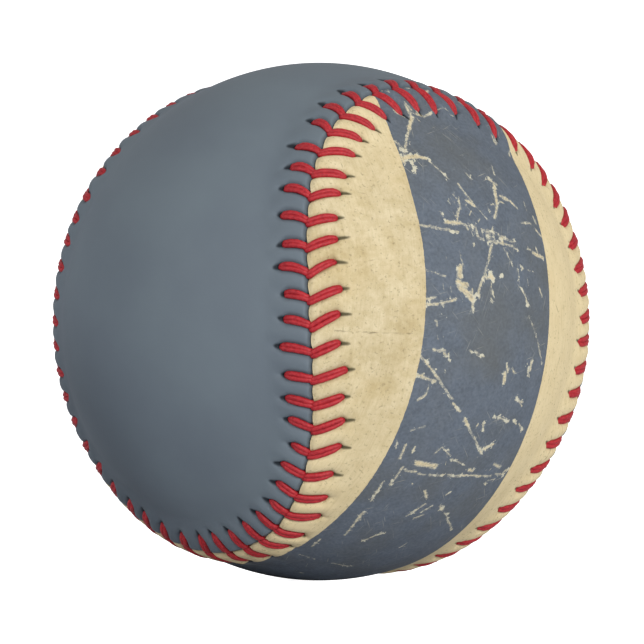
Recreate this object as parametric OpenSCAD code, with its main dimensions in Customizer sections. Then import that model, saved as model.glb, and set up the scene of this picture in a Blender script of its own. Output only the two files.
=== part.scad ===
// A sewn leather ball with a cork core, wound in four layers of yarn.
// The seam crosses the X and Y axes. The two panels are closed over the top and over the bottom.

/* [Core and rubber] */
// Diameter of the cork and rubber ball at the centre
core_d = 20.64; // [18:0.01:23]
// Thickness of the black rubber half shells
black_rubber_t = 3.97; // [3:0.01:5]
// Thickness of the red gasket between the rims of the black half shells
gasket_t = 0.8; // [0.5:0.05:1.5]
// Thickness of the red rubber half shells
red_rubber_t = 2.38; // [1.8:0.01:3]
// Gap that the red half shells leave between their rims
red_rim_gap = 0.1; // [0.05:0.01:0.4]
// Cement film between one layer and the next
cement_t = 0.05; // [0.02:0.01:0.1]

/* [Windings] */
// Build-up of the thick grey wool yarn next to the rubber
inner_grey_t = 14.55; // [12:0.01:16]
// Build-up of the white wool yarn
white_wool_t = 1.7; // [1.2:0.01:2.4]
// Build-up of the second grey wool yarn
outer_grey_t = 2.22; // [1.6:0.01:3]
// Build-up of the fine cotton yarn that finishes the winding
cotton_t = 0.46; // [0.3:0.01:0.8]

/* [Leather cover] */
// Thickness of the cowhide
leather_t = 1.2; // [1:0.01:1.5]
// Room for the rubber cement between winding and leather
cover_gap = 0.18; // [0.1:0.01:0.3]
// Distance of the stitch holes of the plain panel from the middle of the seam
plain_hole_in = 4.03; // [3:0.01:5]
// Distance of the stitch holes of the striped panel from the middle of the seam
striped_hole_in = 3.67; // [3:0.01:5]
// Width of the slope from the stitch holes down to the flat of the panel
ridge_slope = 3.2; // [2:0.1:5]
// How much higher the two edges stand at the seam than at the stitch holes
seam_rise = 0.6; // [0:0.05:0.8]

/* [Stitching] */
// Number of double stitches round the seam
stitch_count = 108; // [90:1:112]
// Width of the flattened thread where it lies on the leather
thread_w = 1.15; // [0.8:0.01:1.5]
// Thickness of the flattened thread
thread_t = 0.55; // [0.35:0.01:0.8]
// Width of the thread where it is drawn down into the seam
pinch_w = 0.8; // [0.5:0.01:1]
// Clearance round the thread
thread_clear = 0.1; // [0.08:0.01:0.15]
// How far the stitch holes of the plain panel lie behind the point of their stitch
plain_hole_back = 0.6; // [0:0.05:1.5]
// How far the stitch holes of the striped panel lie behind the point of their stitch
striped_hole_back = 1.5; // [0:0.05:2]
// How far each cut end of the thread is tucked under the cover
tail_in = 2.2; // [1.5:0.1:3]

/* [Seam line] */
// Height of the main wave of the seam, in degrees
wave_main = 66.17; // [62:0.01:69]
// Height of the third wave, in degrees
wave_third = -1.56; // [-3:0.01:0]
// Height of the fifth wave, in degrees
wave_fifth = -1.06; // [-2:0.01:0]
// Sideways swing of the seam, in degrees
swing_main = 16.98; // [14:0.01:19]
// Second sideways swing, in degrees
swing_second = -2.68; // [-4:0.01:0]
// Third sideways swing, in degrees
swing_third = -1.03; // [-2:0.01:0]
// Where the first stitch lies, as a share of one stitch
first_stitch_share = 0.77; // [0:0.01:1]

/* [Hidden] */
$fn = 96;

// Radii, from the centre outwards. Each layer lies one cement film off the layer below.
core_r = core_d / 2;
black_in_r = core_r + cement_t;
black_out_r = black_in_r + black_rubber_t;
red_in_r = black_out_r + cement_t;
red_out_r = red_in_r + red_rubber_t;
inner_grey_in_r = red_out_r + cement_t;
inner_grey_out_r = inner_grey_in_r + inner_grey_t;
white_in_r = inner_grey_out_r + cement_t;
white_out_r = white_in_r + white_wool_t;
outer_grey_in_r = white_out_r + cement_t;
outer_grey_out_r = outer_grey_in_r + outer_grey_t;
cotton_in_r = outer_grey_out_r + cement_t;
wound_r = cotton_in_r + cotton_t;

// The leather lies on the winding, and is lifted along the seam by the thread that runs under it.
// The stitches draw its two edges up against each other, which makes the crest of the ridge.
flat_under_r = wound_r + cover_gap;
cover_r = flat_under_r + leather_t;
ridge_under_r = wound_r + thread_t + 2 * thread_clear;
ridge_r = ridge_under_r + leather_t;
crest_under_r = ridge_under_r + seam_rise;
crest_r = crest_under_r + leather_t;
thread_low_r = wound_r + thread_clear + thread_t / 2;
thread_high_r = ridge_r + thread_clear + thread_t / 2;
thread_crest_r = crest_r + thread_clear + thread_t / 2;

// The seam leaves room for the thread that passes down through it.
seam_edge_in = thread_t / 2 + thread_clear;
hole_long = thread_w + 2 * thread_clear;
hole_wide = thread_t + 2 * thread_clear;
strand_shift = (pinch_w + thread_clear) / 2;

// The panels: 4 rows along the seam, then rows of half as many points towards the spine.
PLAIN = 1;
STRIPED = -1;
inner_rows = 4;
spine_reach = 95;
last_row_share = inner_rows / (inner_rows + 0.5);
edge_rows = 4;
columns = 2 * stitch_count;
edge_points = edge_rows * columns;
layer_points = edge_points + inner_rows * stitch_count;

function deg(length, r) = length / r * 180 / PI;
function unit(v) = v / norm(v);
function direction(polar, lon) = [sin(polar) * cos(lon), sin(polar) * sin(lon), cos(polar)];

// The seam line on a ball of radius 1. Its parameter goes twice round the circle.
seam_steps = 720;
seam_turn = 720;
frame_turn = 45;
function seam_polar(t) = 90 - wave_main * cos(t) - wave_third * cos(3 * t) - wave_fifth * cos(5 * t);
function seam_swing(t) = swing_main * sin(2 * t) + swing_second * sin(4 * t) + swing_third * sin(6 * t);
function seam_dir(t) = direction(seam_polar(t), t / 2 + seam_swing(t) - frame_turn);
function seam_t(i) = seam_turn * i / seam_steps;
function seam_step(i) = norm(seam_dir(seam_t(i + 1)) - seam_dir(seam_t(i)));
seam_table = [for (i = 0, s = 0; i <= seam_steps; s = s + seam_step(i), i = i + 1) [s, seam_t(i)]];
seam_len = seam_table[seam_steps][0];
seam_nudge = seam_len / seam_steps;

// A place on the seam by its distance s along the line, and the directions there.
function seam_at(s) = seam_dir(lookup(s - seam_len * floor(s / seam_len), seam_table));
function seam_fwd(s) = unit(seam_at(s + seam_nudge) - seam_at(s - seam_nudge));
function seam_side(s, side) = side * unit(cross(seam_at(s), seam_fwd(s)));
function beside(s, side, in) = seam_at(s) * cos(deg(in, cover_r)) + seam_side(s, side) * sin(deg(in, cover_r));

// The stitches, counted along the line; the thread is sewn the other way, from the last to the first.
function stitch_s(k) = seam_len * (k + first_stitch_share) / stitch_count;
function hole_back(side) = side == PLAIN ? plain_hole_back : striped_hole_back;
function hole_in(side) = side == PLAIN ? plain_hole_in : striped_hole_in;
function hole_s(k, side) = stitch_s(k) + hole_back(side) / cover_r;

// One panel.
function foot_in(side) = hole_in(side) + hole_wide / 2 + ridge_slope;
function row_in(row, side) =
    row == 0 ? seam_edge_in :
    row == 1 ? hole_in(side) - hole_wide / 2 :
    row == 2 ? hole_in(side) + hole_wide / 2 : foot_in(side);
function row_under_r(row) =
    row == 0 ? crest_under_r : row == edge_rows - 1 ? flat_under_r : ridge_under_r;
function column_s(c, side) = hole_s(floor(c / 2), side) + (c % 2 - 0.5) * hole_long / cover_r;
function edge_layer(side, up) =
    [for (row = [0 : edge_rows - 1], c = [0 : columns - 1])
        beside(column_s(c, side), side, row_in(row, side)) * (row_under_r(row) + up)];

function spine_dir(s, side) =
    let (round = 360 * s / seam_len)
    side == PLAIN ? direction(spine_reach * sin(round), frame_turn)
                  : direction(180 - spine_reach * cos(round), -frame_turn);
function between(a, b, share) =
    let (angle = acos(a * b)) (a * sin((1 - share) * angle) + b * sin(share * angle)) / sin(angle);
function facet_lift(a, b) = 1 / cos(acos(a * b) * last_row_share / inner_rows / 2);
function inner_point(a, b, row, up) =
    between(a, b, last_row_share * row / inner_rows) * (flat_under_r * facet_lift(a, b) + up);
function foot_dir(k, side) = beside(hole_s(k, side), side, foot_in(side));
function inner_layer(side, up) =
    [for (row = [1 : inner_rows], k = [0 : stitch_count - 1])
        inner_point(foot_dir(k, side), spine_dir(hole_s(k, side), side), row, up)];

function at(row, c) = row * columns + c % columns;
function within(row, k) = edge_points + (row - 1) * stitch_count + (k + stitch_count) % stitch_count;
function quad(a, b, c, d) = [[a, b, c], [a, c, d]];
function is_hole(row, c) = row == 1 && c % 2 == 0;
edge_faces = [for (row = [0 : edge_rows - 2], c = [0 : columns - 1]) if (!is_hole(row, c))
    each quad(at(row, c), at(row + 1, c), at(row + 1, c + 1), at(row, c + 1))];
foot_row = edge_rows - 1;
foot_faces = [for (k = [0 : stitch_count - 1]) each concat(
    [[at(foot_row, 2 * k), within(1, k), at(foot_row, 2 * k + 1)]],
    quad(at(foot_row, 2 * k + 1), within(1, k), within(1, k + 1), at(foot_row, 2 * k + 2)))];
inner_faces = [for (row = [1 : inner_rows - 1], k = [0 : stitch_count - 1])
    each quad(within(row, k), within(row + 1, k), within(row + 1, k + 1), within(row, k + 1))];

// The last row of points closes along the spine, left and right points in turn.
function zip_start(side) = floor((side == PLAIN ? stitch_count / 4 : 0) - first_stitch_share);
function zip(j, side) =
    within(inner_rows, zip_start(side) + (j % 2 == 1 ? (j + 1) / 2 : -j / 2) + stitch_count);
function zip_faces(side) =
    [for (j = [0 : stitch_count - 3])
        j % 2 == 0 ? [zip(j + 1, side), zip(j, side), zip(j + 2, side)]
                   : [zip(j + 2, side), zip(j, side), zip(j + 1, side)]];

function wall(a, b) = quad(a, b, b + layer_points, a + layer_points);
edge_wall = [for (c = [0 : columns - 1]) each wall(at(0, c), at(0, c + 1))];
hole_walls = [for (k = [0 : stitch_count - 1]) let (c = 2 * k) each concat(
    wall(at(1, c + 1), at(1, c)), wall(at(2, c), at(2, c + 1)),
    wall(at(1, c), at(2, c)), wall(at(2, c + 1), at(1, c + 1)))];

function turned(face) = [face[2], face[1], face[0]];
function sunk(face) = [for (i = turned(face)) i + layer_points];
function panel_faces(side) =
    let (top = concat(edge_faces, foot_faces, inner_faces, zip_faces(side)))
    let (all = concat(top, [for (face = top) sunk(face)], edge_wall, hole_walls))
    side == PLAIN ? all : [for (face = all) turned(face)];

module cover_panel(side) {
    polyhedron(
        points = concat(edge_layer(side, leather_t), inner_layer(side, leather_t),
                        edge_layer(side, 0), inner_layer(side, 0)),
        faces = panel_faces(side), convexity = 10);
}

// The thread: one length with a needle at each end. Each end changes panel at every stitch.
ring_share = [[1, 0], [0.6, 1], [-0.6, 1], [-1, 0], [-0.6, -1], [0.6, -1]];
ring_sides = len(ring_share);
function panel_of(i, strand) = (i + strand) % 2 == 0 ? PLAIN : STRIPED;
function sewn_s(i) = stitch_s(stitch_count - 1 - i);
function sewn_hole_s(i, side) = hole_s(stitch_count - 1 - i, side);
function pinch_s(i, side) = sewn_s(i) - side * strand_shift / cover_r;
// Each point of the path holds its place, the direction of the seam there, and its width.
function hole_point(i, side, r) =
    [beside(sewn_hole_s(i, side), side, hole_in(side)) * r, seam_fwd(sewn_hole_s(i, side)), thread_w];
function pinch_point(i, side, r) =
    [seam_at(pinch_s(i, side)) * r, seam_fwd(pinch_s(i, side)), pinch_w];
function tail_point(i, side) =
    [beside(pinch_s(i, side), -side, tail_in) * thread_low_r, seam_fwd(pinch_s(i, side)), pinch_w];
function strand_path(strand) = concat(
    [for (i = [0 : stitch_count - 1]) let (side = panel_of(i, strand)) each
        [hole_point(i, side, thread_low_r), hole_point(i, side, thread_high_r),
         pinch_point(i, side, thread_crest_r), pinch_point(i, side, thread_low_r)]],
    [tail_point(stitch_count - 1, panel_of(stitch_count - 1, strand))]);
function backwards(list) = [for (i = [len(list) - 1 : -1 : 0]) list[i]];
start_s = (sewn_hole_s(0, PLAIN) + sewn_hole_s(0, STRIPED)) / 2;
start_point = [seam_at(start_s) * thread_low_r, seam_fwd(start_s), thread_w];
thread_path = concat(backwards(strand_path(1)), [start_point], strand_path(0));
path_count = len(thread_path);

function leg(i) = unit(thread_path[i + 1][0] - thread_path[i][0]);
function path_in(i) = i == 0 ? leg(0) : leg(i - 1);
function path_out(i) = i == path_count - 1 ? leg(i - 1) : leg(i);
function thread_ring(i) =
    let (ahead = unit(path_in(i) + path_out(i)))
    let (miter = 1 / (ahead * path_in(i)))
    let (along = thread_path[i][1])
    let (across = unit(along - ahead * (along * ahead)))
    let (up = cross(ahead, across) * miter * thread_t / 2)
    [for (share = ring_share)
        thread_path[i][0] + across * share[0] * thread_path[i][2] / 2 + up * share[1]];
function ring_faces(i) =
    [for (j = [0 : ring_sides - 1])
        let (a = i * ring_sides + j, b = i * ring_sides + (j + 1) % ring_sides)
        each quad(a, a + ring_sides, b + ring_sides, b)];

module shell(inner_r, outer_r) {
    difference() {
        sphere(r = outer_r);
        sphere(r = inner_r);
    }
}

// A half shell whose rim lies the given distance above the middle plane.
module half_shell(inner_r, outer_r, rim) {
    difference() {
        sphere(r = outer_r);
        sphere(r = inner_r);
        translate([-2 * outer_r, -2 * outer_r, rim - 2 * outer_r])
            cube([4 * outer_r, 4 * outer_r, 2 * outer_r]);
    }
}

module cork_core() {
    color("peru") sphere(r = core_r);
}

module black_rubber_shell_upper() {
    color("#26272a") half_shell(black_in_r, black_out_r, gasket_t / 2 + cement_t);
}

module black_rubber_shell_lower() {
    color("#26272a") rotate([180, 0, 0]) half_shell(black_in_r, black_out_r, gasket_t / 2 + cement_t);
}

module rubber_gasket() {
    color("firebrick") translate([0, 0, -gasket_t / 2]) difference() {
        cylinder(r = black_out_r - cement_t, h = gasket_t);
        translate([0, 0, -gasket_t]) cylinder(r = black_in_r, h = 3 * gasket_t);
    }
}

module red_rubber_shell_upper() {
    color("indianred") half_shell(red_in_r, red_out_r, red_rim_gap / 2);
}

module red_rubber_shell_lower() {
    color("indianred") rotate([180, 0, 0]) half_shell(red_in_r, red_out_r, red_rim_gap / 2);
}

module grey_wool_winding_inner() {
    color("lightslategray") shell(inner_grey_in_r, inner_grey_out_r);
}

module white_wool_winding() {
    color("whitesmoke") shell(white_in_r, white_out_r);
}

module grey_wool_winding_outer() {
    color("slategray") shell(outer_grey_in_r, outer_grey_out_r);
}

module cotton_finish_winding() {
    color("ivory") shell(cotton_in_r, wound_r);
}

module cover_panel_plain() {
    color("#667586") cover_panel(PLAIN);
}

module cover_panel_striped() {
    color("#d8cfb8") cover_panel(STRIPED);
}

module stitching_thread() {
    color("#b32b32") polyhedron(
        points = [for (i = [0 : path_count - 1]) each thread_ring(i)],
        faces = concat(
            [[for (j = [0 : ring_sides - 1]) j]],
            [for (i = [0 : path_count - 2]) each ring_faces(i)],
            [[for (j = [1 : ring_sides]) path_count * ring_sides - j]]),
        convexity = 10);
}

cork_core();
black_rubber_shell_upper();
black_rubber_shell_lower();
rubber_gasket();
red_rubber_shell_upper();
red_rubber_shell_lower();
grey_wool_winding_inner();
white_wool_winding();
grey_wool_winding_outer();
cotton_finish_winding();
cover_panel_plain();
cover_panel_striped();
stitching_thread();
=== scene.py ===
import math

import bpy
import numpy as np
from mathutils import Matrix, Vector


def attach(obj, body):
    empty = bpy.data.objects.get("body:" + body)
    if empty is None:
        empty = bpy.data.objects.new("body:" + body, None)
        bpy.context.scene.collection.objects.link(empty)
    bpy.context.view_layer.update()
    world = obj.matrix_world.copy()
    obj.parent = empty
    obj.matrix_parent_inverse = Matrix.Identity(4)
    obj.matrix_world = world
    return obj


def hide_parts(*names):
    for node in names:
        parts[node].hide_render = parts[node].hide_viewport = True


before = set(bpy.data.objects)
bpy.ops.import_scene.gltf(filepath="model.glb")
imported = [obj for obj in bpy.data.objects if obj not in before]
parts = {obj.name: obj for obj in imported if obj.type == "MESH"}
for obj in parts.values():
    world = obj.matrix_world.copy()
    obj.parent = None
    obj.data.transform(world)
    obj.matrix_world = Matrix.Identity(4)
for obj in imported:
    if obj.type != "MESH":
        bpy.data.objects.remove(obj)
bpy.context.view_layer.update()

# THE VIEW
# The ball is seen from its front, 25 of its own radii away, with its top leaning 5 degrees to the
# left. The camera's three directions and its shift put it where the photograph has it.
MM = 0.001
COVER_R = 37.28
VIEW_RADII = 25
VIEW_WIDTH = 644
BALL_WIDTH = 518
BALL_CENTRE = (319.36, 321.57)
view_back = Vector((0.0261, -0.9992, -0.0304)).normalized()
view_up = Vector((-0.0873, -0.0326, 0.9956))
view_right = view_up.cross(view_back).normalized()
view_up = view_back.cross(view_right)


def bring_in(name, data):
    """Puts an object that is made of this data into the scene."""
    thing = bpy.data.objects.new(name, data)
    bpy.context.scene.collection.objects.link(thing)
    return thing


camera_data = bpy.data.cameras.new("photograph_view")
camera_data.sensor_width = 36.0
focal_pixels = BALL_WIDTH / 2 * math.sqrt(VIEW_RADII ** 2 - 1)
camera_data.lens = focal_pixels / VIEW_WIDTH * camera_data.sensor_width
camera_data.shift_x = (VIEW_WIDTH / 2 - BALL_CENTRE[0]) / VIEW_WIDTH
camera_data.shift_y = (BALL_CENTRE[1] - VIEW_WIDTH / 2) / VIEW_WIDTH
camera_data.clip_end = 20
camera = bring_in("photograph_view", camera_data)
turn = Matrix((view_right, view_up, view_back)).transposed()
camera.matrix_world = Matrix.Translation(view_back * VIEW_RADII * COVER_R * MM) @ turn.to_4x4()
bpy.context.scene.camera = camera
bpy.context.scene.view_settings.view_transform = "Standard"


def on_the_ball(x, y):
    """The direction from the ball's centre to what the photograph shows at pixel x, y."""
    ray = view_right * (x - BALL_CENTRE[0]) + view_up * (BALL_CENTRE[1] - y) - view_back * focal_pixels
    ray.normalize()
    nearest = view_back * VIEW_RADII - ray * ray.dot(view_back) * VIEW_RADII
    return (nearest - ray * math.sqrt(max(1 - nearest.length_squared, 0))).normalized()


# THE FLOOR AND THE LIGHT
# A pale sheet of paper that curves up all round, so that no edge shows behind the ball. Three round
# soft lamps stand in front of it, the strongest at the right, and a pale surround fills the shadows.
def linear(hex_colour):
    """Turns an sRGB hex value into linear colour."""
    channels = [int(hex_colour[i:i + 2], 16) / 255 for i in (1, 3, 5)]
    return tuple(c / 12.92 if c <= 0.04045 else ((c + 0.055) / 1.055) ** 2.4 for c in channels) + (1.0,)


def add_node(tree, kind, settings=None, links=None):
    """Adds a node, sets its properties, inputs and colour stops, and links its inputs to outputs."""
    node = tree.nodes.new(kind)
    for key, value in (settings or {}).items():
        if key == "color_ramp":
            for stop, (position, colour) in zip(node.color_ramp.elements, value):
                stop.position = position
                stop.color = linear(colour)
        elif isinstance(key, int) or key in node.inputs:
            node.inputs[key].default_value = value
        else:
            setattr(node, key, value)
    for key, source in (links or {}).items():
        tree.links.new(source if isinstance(source, bpy.types.NodeSocket) else source.outputs[0],
                       node.inputs[key])
    return node


def start_material(name):
    """Starts a material, and gives its node tree and the piece's own coordinates in metres."""
    material = bpy.data.materials.new(name)
    material.use_nodes = True
    tree = material.node_tree
    tree.nodes.clear()
    return material, tree, add_node(tree, "ShaderNodeTexCoord").outputs["Object"]


def finish_material(tree, settings, patterns):
    """Gives a material its surface, and lets the patterns drive it."""
    surface = add_node(tree, "ShaderNodeBsdfPrincipled", settings, patterns)
    add_node(tree, "ShaderNodeOutputMaterial", {}, {"Surface": surface})


def smooth_mesh(name, points, faces):
    """Makes an object from points in metres and from faces that point outwards."""
    mesh = bpy.data.meshes.new(name)
    mesh.from_pydata([tuple(p) for p in points], [], faces)
    mesh.shade_smooth()
    return bring_in(name, mesh)


FLOOR_Z = -0.0375
FLOOR_R = 2.4
CURVE_R = 1.4
FLOOR_SIDES = 96
FLAT_RINGS = 8
CURVE_RINGS = 16
floor_profile = [(FLOOR_R * ring / FLAT_RINGS, FLOOR_Z) for ring in range(1, FLAT_RINGS + 1)]
floor_profile += [(FLOOR_R + CURVE_R * math.sin(a), FLOOR_Z + CURVE_R * (1 - math.cos(a)))
                  for a in np.linspace(0, math.pi / 2, CURVE_RINGS + 1)[1:]]
floor_points = [(0, 0, FLOOR_Z)]
for radius, height in floor_profile:
    floor_points += [(radius * math.cos(a), radius * math.sin(a), height)
                     for a in np.linspace(0, 2 * math.pi, FLOOR_SIDES, endpoint=False)]
floor_faces = [(0, 1 + i, 1 + (i + 1) % FLOOR_SIDES) for i in range(FLOOR_SIDES)]
for ring in range(len(floor_profile) - 1):
    for i in range(FLOOR_SIDES):
        a, b = 1 + ring * FLOOR_SIDES + i, 1 + ring * FLOOR_SIDES + (i + 1) % FLOOR_SIDES
        floor_faces.append((a, a + FLOOR_SIDES, b + FLOOR_SIDES, b))
floor = smooth_mesh("paper_floor", floor_points, floor_faces)
# Matt paper has no shine. The sheet that the camera sees is lit through from behind, as a backdrop
# is, and what the sheet throws back on the ball is fainter and cooler.
paper, tree, place = start_material("white_paper")
lit_sheet = add_node(tree, "ShaderNodeBsdfPrincipled", {
    "Roughness": 0.9, "Base Color": linear("#f7f7f7"), "Emission Color": linear("#ffffff"),
    "Emission Strength": 0.9})
thrown_back = add_node(tree, "ShaderNodeBsdfDiffuse", {"Color": linear("#dee2ea")})
seen = add_node(tree, "ShaderNodeLightPath").outputs["Is Camera Ray"]
sheet = add_node(tree, "ShaderNodeMixShader", {}, {0: seen, 1: thrown_back, 2: lit_sheet})
add_node(tree, "ShaderNodeOutputMaterial", {}, {"Surface": sheet})
floor.data.materials.append(paper)

for name, where, size, power in (("front_light", (0.1, -1.7, 0.40), 0.7, 10.0),
                                 ("left_light", (-1.4, -1.1, 0.45), 0.8, 6.0),
                                 ("right_light", (1.3, -1.2, 0.28), 0.8, 20.0)):
    lamp = bpy.data.lights.new(name, "AREA")
    lamp.shape = "DISK"
    lamp.size = size
    lamp.energy = power
    lamp.color = linear("#fffefb")[:3]
    lamp_object = bring_in(name, lamp)
    lamp_object.location = where
    lamp_object.rotation_euler = Vector(where).to_track_quat("Z", "Y").to_euler()
surround = bpy.data.worlds.new("pale_surround")
surround.use_nodes = True
surround_tree = surround.node_tree
seen = add_node(surround_tree, "ShaderNodeLightPath").outputs["Is Camera Ray"]
surround_strength = add_node(surround_tree, "ShaderNodeMapRange", {"To Min": 0.55, "To Max": 1.0},
                             {"Value": seen})
surround_tree.links.new(surround_strength.outputs[0], surround_tree.nodes["Background"].inputs["Strength"])
surround_tree.nodes["Background"].inputs["Color"].default_value = linear("#ffffff")
bpy.context.scene.world = surround


# THE CORK CORE
# A ball of ground cork bound with rubber, pressed in a mould. The granules are 1 to 3 mm across,
# in several browns, and matt.
CORK_GRANULE = 1.8 * MM
cork, tree, place = start_material("pressed_cork")
granules = add_node(tree, "ShaderNodeTexVoronoi", {"Scale": 1 / CORK_GRANULE}, {"Vector": place})
cork_tones = add_node(tree, "ShaderNodeValToRGB", {"color_ramp": ((0.0, "#7d5734"), (1.0, "#c39a67"))},
                      {"Fac": granules.outputs["Color"]})
joints = add_node(tree, "ShaderNodeTexVoronoi",
                  {"feature": "DISTANCE_TO_EDGE", "Scale": 1 / CORK_GRANULE}, {"Vector": place})
cork_relief = add_node(tree, "ShaderNodeBump", {"Strength": 0.6, "Distance": CORK_GRANULE / 6},
                       {"Height": joints})
finish_material(tree, {"Roughness": 0.85}, {"Base Color": cork_tones, "Normal": cork_relief})
parts["cork_core"].data.materials.clear()
parts["cork_core"].data.materials.append(cork)


# THE RUBBER SHELLS AND THE GASKET
# Two moulded half shells of black rubber meet at a red rubber gasket, and two half shells of red
# rubber close round them. Moulded rubber is dull, with a fine bloom and shallow flow marks.
FLOW_MARK = 0.6 * MM


def moulded_rubber(name, dark, light, bloom_size):
    """Rubber as it leaves the mould: clouded by its bloom, and dull."""
    material, tree, place = start_material(name)
    bloom = add_node(tree, "ShaderNodeTexNoise", {"Scale": 1 / bloom_size, "Detail": 5.0}, {"Vector": place})
    tint = add_node(tree, "ShaderNodeValToRGB", {"color_ramp": ((0.35, dark), (0.7, light))}, {"Fac": bloom})
    flow = add_node(tree, "ShaderNodeTexNoise", {"Scale": 1 / FLOW_MARK, "Detail": 3.0}, {"Vector": place})
    relief = add_node(tree, "ShaderNodeBump", {"Strength": 0.35, "Distance": FLOW_MARK / 6}, {"Height": flow})
    dulling = add_node(tree, "ShaderNodeMapRange", {"To Min": 0.48, "To Max": 0.72}, {"Value": bloom})
    finish_material(tree, {}, {"Base Color": tint, "Roughness": dulling, "Normal": relief})
    return material


black_rubber = moulded_rubber("moulded_black_rubber", "#17181a", "#2c2d30", 4 * MM)
red_rubber = moulded_rubber("moulded_red_rubber", "#8c2b22", "#a8453a", 5 * MM)
for name, rubber in (("black_rubber_shell_upper", black_rubber), ("black_rubber_shell_lower", black_rubber),
                     ("rubber_gasket", red_rubber), ("red_rubber_shell_upper", red_rubber),
                     ("red_rubber_shell_lower", red_rubber)):
    parts[name].data.materials.clear()
    parts[name].data.materials.append(rubber)


# THE WINDINGS
# Wool and cotton yarn wound under tension round great circles in every direction, until each
# layer is round. Each layer is one unbroken yarn that climbs over the turns packed beneath it.
PLY_TURN_WIDTHS = 4
FIBRES_A_WIDTH = 6


def wound_yarn(name, tones, width, plies, rough):
    """Twisted yarn: its plies wind round it, with loose fibres over them."""
    material, tree, place = start_material(name)
    round_it = add_node(tree, "ShaderNodeAttribute", {"attribute_name": "yarn_round"}).outputs["Vector"]
    round_parts = add_node(tree, "ShaderNodeSeparateXYZ", {}, {0: round_it})
    angle = add_node(tree, "ShaderNodeMath", {"operation": "ARCTAN2"},
                     {0: round_parts.outputs[1], 1: round_parts.outputs[0]})
    along = add_node(tree, "ShaderNodeAttribute", {"attribute_name": "yarn_along"}).outputs["Fac"]
    turn = add_node(tree, "ShaderNodeMath",
                    {"operation": "MULTIPLY_ADD", 1: 2 * math.pi / (PLY_TURN_WIDTHS * width)},
                    {0: along, 2: angle})
    phase = add_node(tree, "ShaderNodeMath", {"operation": "MULTIPLY", 1: float(plies)}, {0: turn})
    strands = add_node(tree, "ShaderNodeMath", {"operation": "SINE"}, {0: phase})
    fuzz = add_node(tree, "ShaderNodeTexNoise",
                    {"Scale": FIBRES_A_WIDTH / width, "Detail": 5.0, "Roughness": 0.7},
                    {"Vector": place})
    height = add_node(tree, "ShaderNodeMath", {"operation": "MULTIPLY_ADD", 1: 0.14}, {0: strands, 2: fuzz})
    dark, light = tones
    # The colour is darker in the grooves between the plies, which is painted shade, and varies at random with
    # the loose fibres.
    tint = add_node(tree, "ShaderNodeValToRGB", {"color_ramp": ((0.3, dark), (0.7, light))}, {"Fac": height})
    relief = add_node(tree, "ShaderNodeBump", {"Strength": 0.8, "Distance": width / 8}, {"Height": height})
    finish_material(tree, {"Roughness": rough, "Sheen Weight": 0.3, "Sheen Roughness": 0.5},
                    {"Base Color": tint, "Normal": relief})
    return material


def start_growing(name, inputs, output):
    """Starts a Geometry Nodes group with named inputs and one output."""
    group = bpy.data.node_groups.new(name, "GeometryNodeTree")
    group.is_modifier = True
    for socket_name, kind in inputs:
        group.interface.new_socket(socket_name, in_out="INPUT", socket_type="NodeSocket" + kind)
    group.interface.new_socket(output, in_out="OUTPUT", socket_type="NodeSocketGeometry")
    return group, add_node(group, "NodeGroupInput")


def grow(piece, group, settings):
    """Runs a Geometry Nodes group on a piece with its inputs set, and keeps the plain mesh."""
    growing = piece.modifiers.new(group.name, "NODES")
    growing.node_group = group
    for item in group.interface.items_tree:
        if item.item_type == "SOCKET" and item.in_out == "INPUT" and item.name in settings:
            growing[item.identifier] = settings[item.name]
    piece.data = bpy.data.meshes.new_from_object(piece.evaluated_get(bpy.context.evaluated_depsgraph_get()))
    piece.modifiers.remove(growing)


def round_tube(tree, line, radius, sides, along_name, round_name):
    """Gives a line a round section, and marks the length along it and the place round it."""
    length_on = add_node(tree, "GeometryNodeSplineParameter")
    marked = add_node(tree, "GeometryNodeStoreNamedAttribute",
                      {"data_type": "FLOAT", "domain": "POINT", "Name": along_name},
                      {"Geometry": line, "Value": length_on.outputs["Length"]})
    section = add_node(tree, "GeometryNodeCurvePrimitiveCircle", {}, {"Resolution": sides, "Radius": radius})
    section_marked = add_node(tree, "GeometryNodeStoreNamedAttribute",
                              {"data_type": "FLOAT_VECTOR", "domain": "POINT", "Name": round_name},
                              {"Geometry": section, "Value": add_node(tree, "GeometryNodeInputPosition")})
    thickness = add_node(tree, "GeometryNodeInputRadius")
    return add_node(tree, "GeometryNodeCurveToMesh", {"Fill Caps": True},
                    {"Curve": marked, "Profile Curve": section_marked, "Scale": thickness})


def uneven_radius(tree, line, unevenness, seed):
    """Lets a line swell here and there, by up to a share of its radius."""
    random = add_node(tree, "FunctionNodeRandomValue", {"data_type": "FLOAT"}, {"Seed": seed})
    most = add_node(tree, "ShaderNodeMath", {"operation": "ADD", 0: 1.0}, {1: unevenness})
    swell = add_node(tree, "ShaderNodeMapRange", {"To Min": 1.0},
                     {"Value": random.outputs[1], "To Max": most})
    return add_node(tree, "GeometryNodeSetCurveRadius", {}, {"Curve": line, "Radius": swell})


# The yarn runs over a hollow ball of packed turns.
winding, given = start_growing("wind_the_yarn", (
    ("Yarn line", "Geometry"), ("Yarn radius", "Float"), ("Yarn sides", "Int"), ("Inside radius", "Float"),
    ("Packed radius", "Float"), ("Unevenness", "Float"), ("Seed", "Int"), ("Yarn", "Material")), "Winding")
line = add_node(winding, "GeometryNodeMeshToCurve", {}, {"Mesh": given.outputs["Yarn line"]})
rounded = uneven_radius(winding, line, given.outputs["Unevenness"], given.outputs["Seed"])
tube = round_tube(winding, rounded, given.outputs["Yarn radius"], given.outputs["Yarn sides"],
                  "yarn_along", "yarn_round")
packed = add_node(winding, "GeometryNodeMeshUVSphere", {"Segments": 96, "Rings": 48},
                  {"Radius": given.outputs["Packed radius"]})
hollow = add_node(winding, "GeometryNodeMeshUVSphere", {"Segments": 96, "Rings": 48},
                  {"Radius": given.outputs["Inside radius"]})
hollow_inward = add_node(winding, "GeometryNodeFlipFaces", {}, {"Mesh": hollow.outputs["Mesh"]})
joined = add_node(winding, "GeometryNodeJoinGeometry")
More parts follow.
